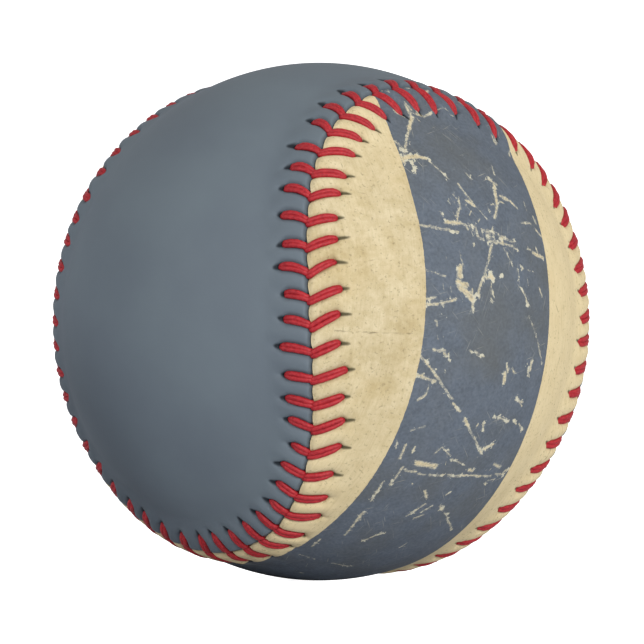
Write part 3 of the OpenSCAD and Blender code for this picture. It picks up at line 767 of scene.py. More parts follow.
# The finish of the striped panel: an aged cream hide with a printed blue-grey stripe that runs the
# panel's length. The print has worn through to the cream in scratches and small flakes, and is matt.
# The scratches that show in the photograph: from x, y to x, y in its pixels, and their width in mm.
WORN_IN_VIEW = [
    # beside the uppermost stitches
    (409, 86, 417, 92, 0.45), (418, 92, 424, 100, 0.30), (395, 116, 402, 118, 0.35),
    (403, 110, 408, 116, 0.40), (409, 116, 412, 122, 0.35), (416, 114, 421, 117, 0.50),
    (423, 118, 430, 115, 0.30), (432, 90, 438, 96, 0.25), (436, 112, 446, 115, 0.16),
    (447, 117, 452, 119, 0.16), (397, 93, 405, 97, 0.12), (380, 94, 386, 100, 0.10),
    (486, 117, 493, 124, 0.14), (490, 138, 495, 145, 0.22), (452, 108, 458, 112, 0.12),
    # the burst by the stripe's left edge, with its stem and its tail
    (411, 119, 409, 129, 0.60), (409, 129, 405, 150, 0.36), (403, 158, 417, 156, 0.95),
    (417, 156, 426, 159, 0.55), (429, 161, 449, 179, 0.16), (405, 152, 395, 141, 0.25),
    (401, 156, 404, 163, 0.55), (412, 161, 415, 171, 0.30),
    # flakes under the stitches above it
    (394, 116, 400, 115, 0.50), (403, 109, 410, 114, 0.40), (415, 116, 422, 117, 0.45),
    (410, 88, 417, 91, 0.65), (428, 90, 438, 95, 0.30), (421, 99, 423, 100, 0.25), (374, 96, 386, 101, 0.10),
    (392, 88, 408, 85, 0.10),
    # single flecks near the top right
    (491, 136, 495, 144, 0.25), (498, 137, 503, 139, 0.25), (508, 152, 509, 156, 0.25),
    (466, 173, 471, 179, 0.22),
    # the slanting line and the flakes on it
    (458, 184, 472, 202, 0.24), (472, 202, 487, 219, 0.17), (466, 200, 475, 206, 0.48),
    (453, 194, 458, 200, 0.15), (458, 198, 460, 207, 0.26), (460, 207, 457, 216, 0.26),
    (439, 209, 442, 214, 0.18), (448, 201, 452, 206, 0.10),
    # the star
    (492, 166, 494, 174, 0.20), (488, 179, 497, 185, 0.40), (494, 185, 497, 204, 0.60),
    (497, 200, 495, 218, 0.45), (503, 198, 508, 200, 0.55), (500, 196, 506, 198, 0.35),
    (509, 200, 517, 208, 0.34), (488, 207, 490, 213, 0.20),
    # three long lines over the stripe's width
    (420, 225, 458, 232, 0.30), (446, 222, 460, 223, 0.62), (460, 223, 484, 230, 0.30),
    (488, 232, 497, 235, 0.72), (492, 228, 494, 240, 0.26), (502, 237, 514, 242, 0.26),
    (476, 237, 493, 242, 0.25), (493, 242, 513, 246, 0.30), (514, 248, 518, 250, 0.20),
    (527, 249, 531, 250, 0.20), (533, 253, 543, 258, 0.55), (536, 248, 539, 257, 0.30),
    # flecks along the right edge
    (533, 217, 536, 224, 0.25), (536, 230, 542, 237, 0.30), (521, 223, 530, 223, 0.20),
    (524, 202, 527, 211, 0.15), (522, 268, 523, 269, 0.30), (528, 270, 530, 271, 0.20),
    (533, 272, 535, 272, 0.20), (539, 287, 542, 296, 0.20), (522, 289, 530, 307, 0.18),
    (526, 300, 528, 306, 0.28), (518, 269, 519, 281, 0.10), (501, 276, 502, 276, 0.12),
    # the V of flakes and the line that comes down to it
    (491, 247, 489, 259, 0.38), (489, 259, 484, 276, 0.25), (484, 276, 479, 290, 0.34),
    (490, 274, 494, 280, 0.62), (487, 278, 492, 276, 0.48), (493, 291, 494, 296, 0.34),
    (459, 252, 460, 256, 0.34), (461, 258, 464, 267, 0.20), (460, 267, 460, 276, 0.85),
    (458, 282, 466, 285, 0.85), (460, 287, 467, 293, 0.95), (466, 292, 472, 299, 1.00),
    (477, 294, 479, 297, 0.58), (473, 300, 473, 311, 0.30), (479, 292, 473, 299, 0.30),
    (504, 248, 513, 266, 0.15),
    # flecks at the stripe's left edge and beside it
    (426, 270, 445, 276, 0.12), (447, 257, 447, 258, 0.34), (474, 244, 474, 245, 0.22),
    (426, 299, 435, 297, 0.34), (426, 304, 438, 304, 0.38), (442, 303, 456, 299, 0.36),
    (491, 299, 493, 302, 0.28), (435, 321, 438, 325, 0.28), (437, 321, 437, 325, 0.34),
    (444, 328, 446, 330, 0.30),
    # the long scratch and its hook
    (420, 355, 438, 378, 0.32), (438, 378, 452, 399, 0.26), (453, 403, 460, 411, 0.32),
    (465, 419, 468, 426, 0.58), (468, 426, 481, 453, 0.26), (484, 449, 493, 444, 0.45),
    (416, 375, 423, 376, 0.52), (423, 377, 435, 381, 0.38),
    # flakes over the lower half
    (429, 386, 426, 395, 0.20), (426, 395, 417, 401, 0.32), (433, 350, 444, 351, 0.26),
    (448, 354, 449, 362, 0.26), (444, 353, 447, 356, 0.38), (470, 350, 474, 353, 0.32),
    (476, 353, 483, 357, 0.26), (529, 316, 536, 335, 0.14), (536, 335, 542, 364, 0.14),
    (507, 365, 508, 372, 0.32), (505, 373, 504, 383, 0.62), (513, 370, 514, 373, 0.22),
    (532, 361, 530, 370, 0.52), (528, 368, 529, 377, 0.26), (516, 398, 522, 403, 0.26),
    (520, 403, 522, 406, 0.20), (495, 416, 509, 421, 0.16), (514, 420, 516, 424, 0.22),
    (519, 424, 522, 430, 0.22), (484, 422, 483, 430, 0.32), (411, 430, 425, 426, 0.14),
    (406, 445, 400, 458, 0.36), (397, 441, 396, 449, 0.18), (415, 447, 412, 453, 0.22),
    (434, 454, 442, 447, 0.18), (442, 447, 450, 455, 0.18), (452, 459, 465, 465, 0.16),
    # the broken line with a worn patch over it
    (417, 463, 435, 466, 0.88), (404, 470, 416, 472, 0.28), (418, 474, 425, 475, 0.25),
    (429, 475, 444, 475, 0.28), (448, 475, 460, 476, 0.25), (462, 475, 481, 476, 0.32),
    (483, 476, 491, 476, 0.25), (495, 474, 504, 474, 0.28), (469, 470, 472, 471, 0.55),
    (494, 464, 500, 467, 0.38), (504, 471, 508, 469, 0.42), (485, 483, 486, 484, 0.45),
    # short strokes towards the bottom
    (403, 467, 390, 485, 0.30), (383, 482, 371, 501, 0.22), (413, 484, 414, 485, 0.36),
    (425, 491, 427, 498, 0.45), (446, 495, 450, 492, 0.20), (425, 504, 407, 516, 0.22),
    (432, 506, 421, 512, 0.18), (414, 518, 423, 515, 0.22), (440, 506, 443, 510, 0.40),
    (444, 512, 448, 518, 0.18), (448, 520, 452, 530, 0.30), (363, 513, 357, 520, 0.40),
    (357, 520, 345, 535, 0.22), (381, 533, 362, 541, 0.22), (407, 543, 401, 547, 0.18),
    (320, 539, 312, 546, 0.22), (333, 563, 348, 566, 0.18), (300, 554, 315, 559, 0.14),
    (373, 577, 383, 575, 0.16), (298, 572, 304, 573, 0.14),
]
worn_strokes = [(np.array(on_the_ball(x0, y0)), np.array(on_the_ball(x1, y1)), width / 2)
                for x0, y0, x1, y1, width in WORN_IN_VIEW]
# Out of the photograph's sight the same wear goes on in clusters, from a seed.
wearing = np.random.RandomState(11)
STRIPE_SIDE = np.array([0.70711, 0.70711, 0.0])
STRIPE_ALONG = np.array([0.70711, -0.70711, 0.0])
CLUSTERS = 60
LONG_STROKE = 0.22
OUT_OF_SIGHT = 0.15
for cluster in range(CLUSTERS):
    along, across = math.radians(wearing.uniform(-150, 150)), wearing.uniform(-0.34, 0.28)
    heading = wearing.uniform(0, math.pi)
    for stroke in range(wearing.randint(2, 8)):
        at = np.array([along, across]) + wearing.normal(0, 0.07, 2)
        turn_by = heading + wearing.normal(0, 0.8)
        reach = wearing.choice([0.02, 0.04, 0.08, LONG_STROKE], p=[0.4, 0.3, 0.2, 0.1])
        half = wearing.choice([0.05, 0.1, 0.16, 0.3], p=[0.3, 0.35, 0.25, 0.1])
        half *= 0.4 if reach == LONG_STROKE else 1.0
        ends = []
        for step in (-0.5, 0.5):
            lon, lat = at + step * reach * np.array([math.cos(turn_by), math.sin(turn_by)])
            ends.append((STRIPE_ALONG * math.sin(lon) + np.array([0, 0, -math.cos(lon)])) * math.cos(lat)
                        + STRIPE_SIDE * math.sin(lat))
        if ends[0] @ np.array(view_back) < OUT_OF_SIGHT:
            worn_strokes.append((ends[0], ends[1], half))

# Hairline cracks in the cream hide, the same way.
CRACKED_IN_VIEW = [
    (354, 212, 362, 214, 0.12), (362, 214, 373, 218, 0.08), (396, 291, 406, 288, 0.10),
    (406, 288, 420, 284, 0.12), (400, 296, 409, 293, 0.08), (322, 301, 325, 314, 0.12),
    (325, 314, 324, 322, 0.08), (329, 330, 352, 332, 0.07), (356, 332, 384, 333, 0.08),
    (388, 333, 417, 334, 0.07), (354, 420, 355, 432, 0.08), (330, 198, 342, 203, 0.08),
    (338, 163, 344, 176, 0.08), (372, 372, 380, 369, 0.08), (366, 262, 379, 259, 0.07),
    (412, 256, 417, 268, 0.07), (554, 300, 560, 318, 0.08), (561, 352, 556, 371, 0.07),
    (534, 420, 528, 433, 0.08), (345, 462, 358, 458, 0.08),
]
hairlines = [(np.array(on_the_ball(x0, y0)), np.array(on_the_ball(x1, y1)), width / 2)
             for x0, y0, x1, y1, width in CRACKED_IN_VIEW]
CRACKS = 70
for crack in range(CRACKS):
    start = wearing.normal(0, 1, 3)
    start /= np.linalg.norm(start)
    end = start + np.cross(start, wearing.normal(0, 0.07, 3))
    if start @ np.array(view_back) < OUT_OF_SIGHT:
        hairlines.append((start, end / np.linalg.norm(end), 0.05))

# Each point of the panel carries its place beside the nearest of these strokes, in layers: the
# distance from the stroke's line, how far past its end, and half its width.
LAYERS = 4
NO_WEAR = -5.0
WEAR_REACH = 1.6
hide_points = np.array([point.co for point in striped_panel.data.vertices])
hide_points /= np.linalg.norm(hide_points, axis=1, keepdims=True)


def carry_strokes(name, strokes):
    """Stores the strokes' places on the panel's points."""
    beside = np.tile([NOT_NEAR, NOT_NEAR, NO_WEAR], (len(hide_points), 1))
    nearest = np.full(len(hide_points), np.inf)
    for start, end, half in strokes:
        pole = np.cross(start, end)
        pole /= np.linalg.norm(pole)
        off = np.arcsin(hide_points @ pole) * COVER_R
        turned = np.arctan2(hide_points @ np.cross(pole, start), hide_points @ start)
        past = np.maximum(-turned, turned - math.acos(min(start @ end, 1.0))) * COVER_R
        gap = np.hypot(off, np.maximum(past, 0))
        closer = gap < nearest
        nearest[closer] = gap[closer]
        beside[closer] = np.stack([off, past, np.where(gap < WEAR_REACH, half, NO_WEAR)], -1)[closer]
    attribute = striped_panel.data.attributes.new(name, "FLOAT_VECTOR", "POINT")
    attribute.data.foreach_set("vector", beside.astype(np.float32).ravel())


# How wide and how long a fibre at a scratch is, in millimetres. By the third size, scratches of
# unequal widths have fibres of their own.
TORN_FIBRE = (0.13, 1.1, 0.05)


def stroke_depth(tree, name):
    """How far inside a carried stroke a place lies, in millimetres, less where fibres hold the
    finish: they run along the stroke."""
    beside = add_node(tree, "ShaderNodeAttribute", {"attribute_name": name}).outputs["Vector"]
    off_past_half = add_node(tree, "ShaderNodeSeparateXYZ", {}, {0: beside})
    past_end = add_node(tree, "ShaderNodeMath", {"operation": "MAXIMUM", 1: 0.0},
                        {0: off_past_half.outputs[1]})
    flat_off = add_node(tree, "ShaderNodeCombineXYZ", {}, {0: off_past_half.outputs[0], 1: past_end})
    gap = add_node(tree, "ShaderNodeVectorMath", {"operation": "LENGTH"}, {0: flat_off})
    inside = add_node(tree, "ShaderNodeMath", {"operation": "SUBTRACT"},
                      {0: off_past_half.outputs[2], 1: gap.outputs["Value"]})
    drawn = add_node(tree, "ShaderNodeVectorMath",
                     {"operation": "MULTIPLY", 1: [1 / size for size in TORN_FIBRE]}, {0: beside})
    fibres = add_node(tree, "ShaderNodeTexNoise", {"Scale": 1.0, "Detail": 2.0}, {"Vector": drawn})
    held = add_node(tree, "ShaderNodeMath", {"operation": "MULTIPLY_ADD", 1: 0.7, 2: -0.38}, {0: fibres})
    return add_node(tree, "ShaderNodeMath", {"operation": "ADD"}, {0: inside, 1: held})


# Strokes that lie near each other go to different layers, so that none takes another's place.
layer_of = []
for start, end, half in worn_strokes:
    crowding = [0.0] * LAYERS
    for (other_start, other_end, _), used in zip(worn_strokes, layer_of):
        crowding[used] += 1 / (0.02 + np.linalg.norm(start + end - other_start - other_end))
    layer_of.append(int(np.argmin(crowding)))
for layer in range(LAYERS):
    carry_strokes("worn_%d" % layer,
                  [stroke for stroke, used in zip(worn_strokes, layer_of) if used == layer])
carry_strokes("cracked", hairlines)

# The cream hide is mottled and stained, with fine fibres along the stripe and dark specks. Painted
# light makes it paler further from one place. The two sizes of its fibres are in millimetres.
MOTTLE = 3.6 * MM
STAIN = 11 * MM
SPECK = 0.42 * MM
CRACK_TEAR = 0.5 * MM
FIBRE_LONG = 3.5
FIBRE_WIDE = 0.22
PAINTED_LIGHT_AWAY_FROM = (385, 280)
PAINTED_LIGHT_NONE, PAINTED_LIGHT_FULL = 10 * MM, 36 * MM
printed_hide, tree, place = start_material("printed_aged_cowhide")
mottle = add_node(tree, "ShaderNodeTexNoise", {"Scale": 1 / MOTTLE, "Detail": 8.0, "Roughness": 0.78},
                  {"Vector": place})
cream = add_node(tree, "ShaderNodeValToRGB", {"color_ramp": ((0.35, "#b09f79"), (0.63, "#cbbd9c"))},
                 {"Fac": mottle})
stain = add_node(tree, "ShaderNodeTexNoise", {"Scale": 1 / STAIN, "Detail": 3.0}, {"Vector": place})
stain_share = add_node(tree, "ShaderNodeMapRange", {"From Min": 0.48, "From Max": 0.72, "To Max": 0.18},
                       {"Value": stain})
# Painted light: the cream is paler further from one place.
painted_light_share = add_node(tree, "ShaderNodeMapRange", {
    "interpolation_type": "SMOOTHSTEP", "From Min": PAINTED_LIGHT_NONE, "From Max": PAINTED_LIGHT_FULL, "To Max": 0.7},
    {"Value": from_spot(tree, place, PAINTED_LIGHT_AWAY_FROM)})
over = add_node(tree, "ShaderNodeVectorMath", {"operation": "NORMALIZE"}, {0: place})
across = add_node(tree, "ShaderNodeVectorMath", {"operation": "DOT_PRODUCT", 1: tuple(STRIPE_SIDE)},
                  {0: over})
along = add_node(tree, "ShaderNodeVectorMath", {"operation": "DOT_PRODUCT", 1: tuple(STRIPE_ALONG)},
                 {0: over})
over_parts = add_node(tree, "ShaderNodeSeparateXYZ", {}, {0: over})
fibre_sizes = ((across.outputs["Value"], FIBRE_WIDE), (along.outputs["Value"], FIBRE_LONG),
               (over_parts.outputs[2], FIBRE_LONG))
fibre_place = add_node(tree, "ShaderNodeCombineXYZ", {}, {
    axis: add_node(tree, "ShaderNodeMath", {"operation": "MULTIPLY", 1: COVER_R / size}, {0: way})
    for axis, (way, size) in enumerate(fibre_sizes)})
fibre = add_node(tree, "ShaderNodeTexNoise", {"Scale": 1.0, "Detail": 3.0, "Roughness": 0.6},
                 {"Vector": fibre_place})
fibre_share = add_node(tree, "ShaderNodeMapRange", {"From Min": 0.48, "From Max": 0.72, "To Max": 0.22},
                       {"Value": fibre})
speck = add_node(tree, "ShaderNodeTexNoise", {"Scale": 1 / SPECK, "Detail": 2.0, "Roughness": 0.5},
                 {"Vector": place})
speck_share = add_node(tree, "ShaderNodeMapRange", {"From Min": 0.60, "From Max": 0.74, "To Max": 0.5},
                       {"Value": speck})
crack_tear = add_node(tree, "ShaderNodeTexNoise", {"Scale": 1 / CRACK_TEAR, "Detail": 3.0}, {"Vector": place})
crack_uneven = add_node(tree, "ShaderNodeMath", {"operation": "MULTIPLY_ADD", 1: 0.2, 2: -0.1},
                        {0: crack_tear})
crack_inside = add_node(tree, "ShaderNodeMath", {"operation": "ADD"},
                        {0: stroke_depth(tree, "cracked"), 1: crack_uneven})
crack_share = add_node(tree, "ShaderNodeMapRange", {"From Min": -0.06, "From Max": 0.06, "To Max": 0.65},
                       {"Value": crack_inside})
cracked = lay_over(tree, cream, (stain_share, "#c0a56b"), (painted_light_share, "#d9c79e"), (fibre_share, "#96845a"),
                   (speck_share, "#6f6546"), (crack_share, "#5b5138"))

# The stripe lies between two planes that cross the ball, and bends aside near the panel's two ends.
# Its edge is a little uneven.
RAGGED = 0.7 * MM
BEND_LOW, BEND_HIGH = -0.058, -0.030
STRIPE_LOW, STRIPE_HIGH = -0.350, 0.289
ragged = add_node(tree, "ShaderNodeTexNoise", {"Scale": 1 / RAGGED, "Detail": 4.0, "Roughness": 0.6},
                  {"Vector": place})
uneven = add_node(tree, "ShaderNodeMath", {"operation": "MULTIPLY_ADD", 1: 0.006, 2: -0.003}, {0: ragged})
bend_share = add_node(tree, "ShaderNodeMapRange", {"From Min": 0.42, "From Max": 0.83, "clamp": False},
                      {"Value": over_parts.outputs[2]})
bend_up = add_node(tree, "ShaderNodeMath", {"operation": "MAXIMUM", 1: 0.0}, {0: bend_share})
bend_curve = add_node(tree, "ShaderNodeMath", {"operation": "POWER", 1: 1.7}, {0: bend_up})
across_uneven = add_node(tree, "ShaderNodeMath", {"operation": "ADD"},
                         {0: across.outputs["Value"], 1: uneven})
from_low = add_node(tree, "ShaderNodeMath", {"operation": "MULTIPLY_ADD", 1: BEND_LOW},
                    {0: bend_curve, 2: across_uneven})
from_high = add_node(tree, "ShaderNodeMath", {"operation": "MULTIPLY_ADD", 1: BEND_HIGH},
                     {0: bend_curve, 2: across_uneven})
stripe_low = add_node(tree, "ShaderNodeMath", {"operation": "GREATER_THAN", 1: STRIPE_LOW}, {0: from_low})
stripe_high = add_node(tree, "ShaderNodeMath", {"operation": "LESS_THAN", 1: STRIPE_HIGH}, {0: from_high})
stripe = add_node(tree, "ShaderNodeMath", {"operation": "MULTIPLY"}, {0: stripe_low, 1: stripe_high})

# The worn places: inside a scratch's width, with torn edges, or where fine flakes have come off.
FINE_TEAR = 0.28 * MM
FLAKE = 0.9 * MM
FLAKED_PATCH = 6 * MM
HAIR_WIDE = 0.16 * MM
HAIR_LONG = 4.5 * MM
HAIR_TILTS = (0.75, -0.35, 1.9)
fine_tear = add_node(tree, "ShaderNodeTexNoise", {"Scale": 1 / FINE_TEAR, "Detail": 3.0, "Roughness": 0.6},
                     {"Vector": place})
tear_both = add_node(tree, "ShaderNodeMath", {"operation": "ADD"}, {0: ragged, 1: fine_tear})
tear = add_node(tree, "ShaderNodeMapRange",
                {"From Min": 0.7, "From Max": 1.3, "To Min": -0.15, "To Max": 0.13}, {"Value": tear_both})
depth = stroke_depth(tree, "worn_0")
for layer in range(1, LAYERS):
    depth = add_node(tree, "ShaderNodeMath", {"operation": "MAXIMUM"},
                     {0: depth, 1: stroke_depth(tree, "worn_%d" % layer)})
torn_depth = add_node(tree, "ShaderNodeMath", {"operation": "ADD"}, {0: depth, 1: tear})
worn_edge = add_node(tree, "ShaderNodeMapRange", {"From Min": -0.13, "From Max": 0.16}, {"Value": torn_depth})
worn_thin = add_node(tree, "ShaderNodeMapRange",
                     {"From Min": 0.34, "From Max": 0.55, "To Min": 0.5, "To Max": 0.98},
                     {"Value": fine_tear})
scratched = add_node(tree, "ShaderNodeMath", {"operation": "MULTIPLY"}, {0: worn_edge, 1: worn_thin})
flake = add_node(tree, "ShaderNodeTexNoise", {"Scale": 1 / FLAKE, "Detail": 5.0, "Roughness": 0.7},
                 {"Vector": place})
flake_where = add_node(tree, "ShaderNodeTexNoise", {"Scale": 1 / FLAKED_PATCH, "Detail": 2.0},
                       {"Vector": place})
near_scratch = add_node(tree, "ShaderNodeMapRange", {"From Min": -0.9, "From Max": 0.0, "To Max": 0.22},
                        {"Value": depth})
flake_more = add_node(tree, "ShaderNodeMath", {"operation": "ADD"}, {0: flake, 1: near_scratch})
flake_both = add_node(tree, "ShaderNodeMath", {"operation": "MULTIPLY_ADD", 1: 0.35},
                      {0: flake_where, 2: flake_more})
flaked = add_node(tree, "ShaderNodeMapRange", {"From Min": 0.93, "From Max": 0.96}, {"Value": flake_both})
worn = add_node(tree, "ShaderNodeMath", {"operation": "MAXIMUM"}, {0: scratched, 1: flaked})
for tilt in HAIR_TILTS:
    hair_place = add_node(tree, "ShaderNodeMapping", {
        "vector_type": "TEXTURE", "Rotation": (0.0, tilt, 0.6), "Scale": (HAIR_LONG, HAIR_LONG, HAIR_WIDE)},
        {"Vector": place})
    hair = add_node(tree, "ShaderNodeTexNoise", {"Scale": 1.0, "Detail": 1.0}, {"Vector": hair_place})
    hair_more = add_node(tree, "ShaderNodeMath", {"operation": "MULTIPLY_ADD", 1: 0.25},
                         {0: flake_where, 2: hair})
    hair_share = add_node(tree, "ShaderNodeMapRange", {"From Min": 0.85, "From Max": 0.95, "To Max": 0.36},
                          {"Value": hair_more})
    worn = add_node(tree, "ShaderNodeMath", {"operation": "MAXIMUM"}, {0: worn, 1: hair_share})
ink_left = add_node(tree, "ShaderNodeMath", {"operation": "SUBTRACT", 0: 1.0}, {1: worn})
printed_share = add_node(tree, "ShaderNodeMath", {"operation": "MULTIPLY"}, {0: stripe, 1: ink_left})
ink = add_node(tree, "ShaderNodeValToRGB", {"color_ramp": ((0.3, "#5a6067"), (0.7, "#68707b"))},
               {"Fac": mottle})
ink_fine = add_node(tree, "ShaderNodeMapRange", {"From Min": 0.3, "From Max": 0.7, "To Max": 0.40},
                    {"Value": speck})
ink_faded = add_node(tree, "ShaderNodeMapRange", {"From Min": 0.46, "From Max": 0.70, "To Max": 0.4},
                     {"Value": stain})
aged_ink = lay_over(tree, ink, (ink_fine, "#3c4550"), (ink_faded, "#5d5c54"))
# A shallow scratch keeps a grey film of ink, and a deep one shows the cream hide.
bare_deep = add_node(tree, "ShaderNodeMapRange", {"From Min": 0.02, "From Max": 0.22, "To Max": 0.8},
                     {"Value": torn_depth})
bare_tone = lay_over(tree, "#bdb9a6", (bare_deep, cracked))
# Painted shade darkens the hide and its print beside the thread, and painted shadow darkens the slits at the
# holes.
painted_thread_shade = close_by(tree, "thread_mm", 0.5, 1.2, 0.2)
painted_slit_shade = close_by(tree, "slit_mm", -0.1, 0.22, 0.9)
thread_shade_tone = lay_over(tree, "#917c52", (printed_share, "#141e28"))
slit_shade_tone = lay_over(tree, "#3d3926", (printed_share, "#171c22"))
printed = lay_over(tree, cracked, (stripe, bare_tone), (printed_share, aged_ink), (painted_thread_shade, thread_shade_tone),
                   (painted_slit_shade, slit_shade_tone))
hide_height = add_node(tree, "ShaderNodeMath", {"operation": "MULTIPLY_ADD", 1: 0.4},
                       {0: printed_share, 2: mottle})
worn_relief = add_node(tree, "ShaderNodeBump", {"Strength": 0.35, "Distance": 0.12 * MM},
                       {"Height": hide_height})
fine_relief = add_node(tree, "ShaderNodeBump", {"Strength": 0.2, "Distance": 0.06 * MM},
                       {"Height": speck, "Normal": worn_relief})
finish_material(tree, {"Roughness": 0.7, "Specular IOR Level": 0.1},
                {"Base Color": printed, "Normal": fine_relief})
striped_panel.data.materials.append(printed_hide)
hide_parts("cover_panel_striped")
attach(striped_panel, "root")


# THE STITCHING
# One waxed red thread of two plies, with a needle at each end. Each end comes up through a hole,
# crosses to the seam, goes down and under the other panel to the next hole there, 108 times.
PLY_R = 0.36
THREAD_UNDER_R = WOUND_R + 0.38
PLY_RIDE_SHARE = 0.72
LEG_ARCH = 0.10
LEG_TWIST = 0.25
OVER_POINTS = 9
OVER_HIDE = slice(4, 4 + OVER_POINTS)
SEAM_END = {PLAIN: 0.28, STRIPED: -0.12}
HOLE_WIDTH_SHARES = [0.6, 0.6, 0.7, 1.0]
OVER_WIDTH_SHARES = {PLAIN: [1.0, 1.08, 1.0, 0.68], STRIPED: [0.92, 1.1, 1.12, 0.95]}
SEAM_WIDTH_SHARES = [0.8, 0.6, 0.6, 0.7]


def leg_points(i, side):
    """Stitch i of the sewing on one panel: up through the hole, over the hide and into the seam.
    Gives its points in millimetres, the way across it, its plies' spread and their twist."""
    k = STITCHES - 1 - i
    there, end = hole_in[side][k], SEAM_END[side]
    inward = np.concatenate([[there + 0.15, there + 0.18, there + 0.14, there + 0.02],
                             np.linspace(there - 0.25, end + 0.25, OVER_POINTS), [end + 0.05, end, end, end]])
    q = stitch_at(k) + leg_back(k, side, np.maximum(inward, 0)) / PITCH
    hide = hide_relief(q, side, np.maximum(inward, 0.5))[0][OVER_HIDE]
    over = hide + PLY_RIDE_SHARE * PLY_R + LEG_ARCH * np.sin(np.linspace(0, math.pi, OVER_POINTS))
    under = THREAD_UNDER_R - COVER_R
    height = np.concatenate([[under, -0.35, hide[0] - 0.1, hide[0] + 0.12], over,
                             [over[-1] - 0.10, over[-1] - 0.42, -0.7, under]])
    over_widths = np.interp(np.linspace(0, 1, OVER_POINTS), [0, 0.25, 0.6, 1], OVER_WIDTH_SHARES[side])
    hole_widths = hole_narrow[side][k] * np.array(HOLE_WIDTH_SHARES)
    spread = leg_spread[side][k] * np.concatenate([hole_widths, over_widths, SEAM_WIDTH_SHARES])
    twist = leg_twist[side][k] + np.linspace(-LEG_TWIST, LEG_TWIST, len(inward))
    place = beside_seam(q, side, drawn_over(q, side, inward)) * (COVER_R + height)[:, None]
    return place, seam_forward(q), spread, twist


def strand(first_side):
    """One end of the thread, sewn all the way round, on the two panels by turns."""
    rows = [leg_points(i, first_side if i % 2 == 0 else -first_side) for i in range(STITCHES)]
    return [np.concatenate([row[column] for row in rows]) for column in range(4)]


with_left, with_right = strand(PLAIN), strand(STRIPED)
thread_line = [np.concatenate([b[::-1], a]) for a, b in zip(with_left, with_right)]
thread_place, thread_across, thread_spread, thread_twist = thread_line
ahead = np.gradient(thread_place, axis=0)
ahead /= np.linalg.norm(ahead, axis=1, keepdims=True)
thread_across = thread_across - ahead * np.sum(thread_across * ahead, 1)[:, None]
thread_across /= np.linalg.norm(thread_across, axis=1, keepdims=True)
thread_up = np.cross(ahead, thread_across)
thread_mesh = bpy.data.meshes.new("red_stitching")
thread_mesh.from_pydata((thread_place * MM).tolist(), [(i, i + 1) for i in range(len(thread_place) - 1)], [])
for mark, kind, item, values in (
        ("across", "FLOAT_VECTOR", "vector", thread_across), ("up", "FLOAT_VECTOR", "vector", thread_up),
        ("spread", "FLOAT", "value", thread_spread), ("twist", "FLOAT", "value", thread_twist)):
    attribute = thread_mesh.attributes.new(mark, kind, "POINT")
    attribute.data.foreach_set(item, values.astype(np.float32).ravel())
thread = bring_in("red_stitching", thread_mesh)

# The wax gives the red a dull shine, which breaks up over the fibres that turn round each ply.
PLY_TURN = 1.1 * MM
FUZZ = 0.4 * MM
waxed_thread, tree, place = start_material("waxed_red_thread")
ply_along = add_node(tree, "ShaderNodeAttribute", {"attribute_name": "ply_along"}).outputs["Fac"]
ply_round = add_node(tree, "ShaderNodeAttribute", {"attribute_name": "ply_round"}).outputs["Vector"]
round_parts = add_node(tree, "ShaderNodeSeparateXYZ", {}, {0: ply_round})
round_angle = add_node(tree, "ShaderNodeMath", {"operation": "ARCTAN2"},
                       {0: round_parts.outputs[1], 1: round_parts.outputs[0]})
fibre_turn = add_node(tree, "ShaderNodeMath", {"operation": "MULTIPLY_ADD", 1: 2 * math.pi / PLY_TURN},
                      {0: ply_along, 2: round_angle})
fibres = add_node(tree, "ShaderNodeMath", {"operation": "SINE"}, {0: fibre_turn})
fuzz = add_node(tree, "ShaderNodeTexNoise", {"Scale": 1 / FUZZ, "Detail": 3.0}, {"Vector": place})
fibre_height = add_node(tree, "ShaderNodeMath", {"operation": "MULTIPLY_ADD", 1: 0.25}, {0: fibres, 2: fuzz})
red = add_node(tree, "ShaderNodeValToRGB", {"color_ramp": ((0.3, "#8f1520"), (0.7, "#b02b31"))},
               {"Fac": fuzz})
fibre_relief = add_node(tree, "ShaderNodeBump", {"Strength": 0.5, "Distance": FUZZ / 5},
                        {"Height": fibre_height})
finish_material(tree, {"Roughness": 0.5, "Specular IOR Level": 0.3},
                {"Base Color": red, "Normal": fibre_relief})

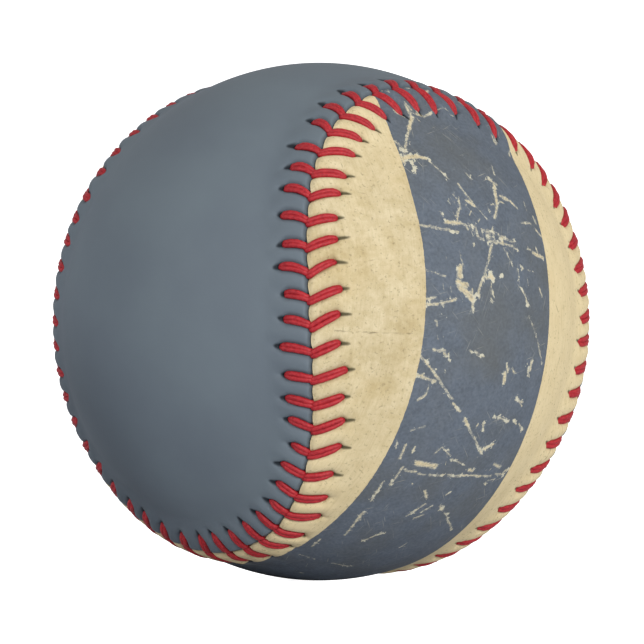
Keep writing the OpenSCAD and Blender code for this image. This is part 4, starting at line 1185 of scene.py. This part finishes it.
# The plies: the thread's line is laid once for each ply, moved aside, and given a round section.
plying, given = start_growing("ply_the_thread", (
    ("Thread line", "Geometry"), ("Plies", "Int"), ("Ply radius", "Float"), ("Ply sides", "Int"),
    ("Flattening", "Float"), ("Unevenness", "Float"), ("Seed", "Int")), "Thread")
line = add_node(plying, "GeometryNodeMeshToCurve", {}, {"Mesh": given.outputs["Thread line"]})
copies = add_node(plying, "GeometryNodeDuplicateElements", {"domain": "SPLINE"},
                  {"Geometry": line, "Amount": given.outputs["Plies"]})
marks = {}
for mark, kind in (("across", "FLOAT_VECTOR"), ("up", "FLOAT_VECTOR"), ("spread", "FLOAT"),
                   ("twist", "FLOAT")):
    carried = add_node(plying, "GeometryNodeInputNamedAttribute", {"data_type": kind, "Name": mark})
    marks[mark] = carried.outputs["Attribute"]
share_of_turn = add_node(plying, "ShaderNodeMath", {"operation": "DIVIDE", 0: 2 * math.pi},
                         {1: given.outputs["Plies"]})
ply_angle = add_node(plying, "ShaderNodeMath", {"operation": "MULTIPLY_ADD"},
                     {0: copies.outputs["Duplicate Index"], 1: share_of_turn, 2: marks["twist"]})
ply_cos = add_node(plying, "ShaderNodeMath", {"operation": "COSINE"}, {0: ply_angle})
ply_sin = add_node(plying, "ShaderNodeMath", {"operation": "SINE"}, {0: ply_angle})
aside = add_node(plying, "ShaderNodeMath", {"operation": "MULTIPLY"}, {0: ply_cos, 1: marks["spread"]})
aside_m = add_node(plying, "ShaderNodeMath", {"operation": "MULTIPLY", 1: MM}, {0: aside})
stacked = add_node(plying, "ShaderNodeMath", {"operation": "MULTIPLY"},
                   {0: ply_sin, 1: given.outputs["Flattening"]})
move_across = add_node(plying, "ShaderNodeVectorMath", {"operation": "SCALE"},
                       {0: marks["across"], "Scale": aside_m})
move_up = add_node(plying, "ShaderNodeVectorMath", {"operation": "SCALE"}, {0: marks["up"], "Scale": stacked})
moved = add_node(plying, "ShaderNodeVectorMath", {"operation": "ADD"}, {0: move_across, 1: move_up})
laid = add_node(plying, "GeometryNodeSetPosition", {}, {"Geometry": copies, "Offset": moved})
rounded = uneven_radius(plying, laid, given.outputs["Unevenness"], given.outputs["Seed"])
tube = round_tube(plying, rounded, given.outputs["Ply radius"], given.outputs["Ply sides"],
                  "ply_along", "ply_round")
shaded = add_node(plying, "GeometryNodeSetShadeSmooth", {}, {"Geometry": tube})
real = add_node(plying, "GeometryNodeRealizeInstances", {}, {"Geometry": shaded})
coloured = add_node(plying, "GeometryNodeSetMaterial", {"Material": waxed_thread}, {"Geometry": real})
add_node(plying, "NodeGroupOutput", {}, {"Thread": coloured})

grow(thread, plying, {"Plies": 2, "Ply radius": PLY_R * MM, "Ply sides": 9, "Flattening": 0.08 * MM,
                      "Unevenness": 0.12, "Seed": 5})
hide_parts("stitching_thread")
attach(thread, "root")
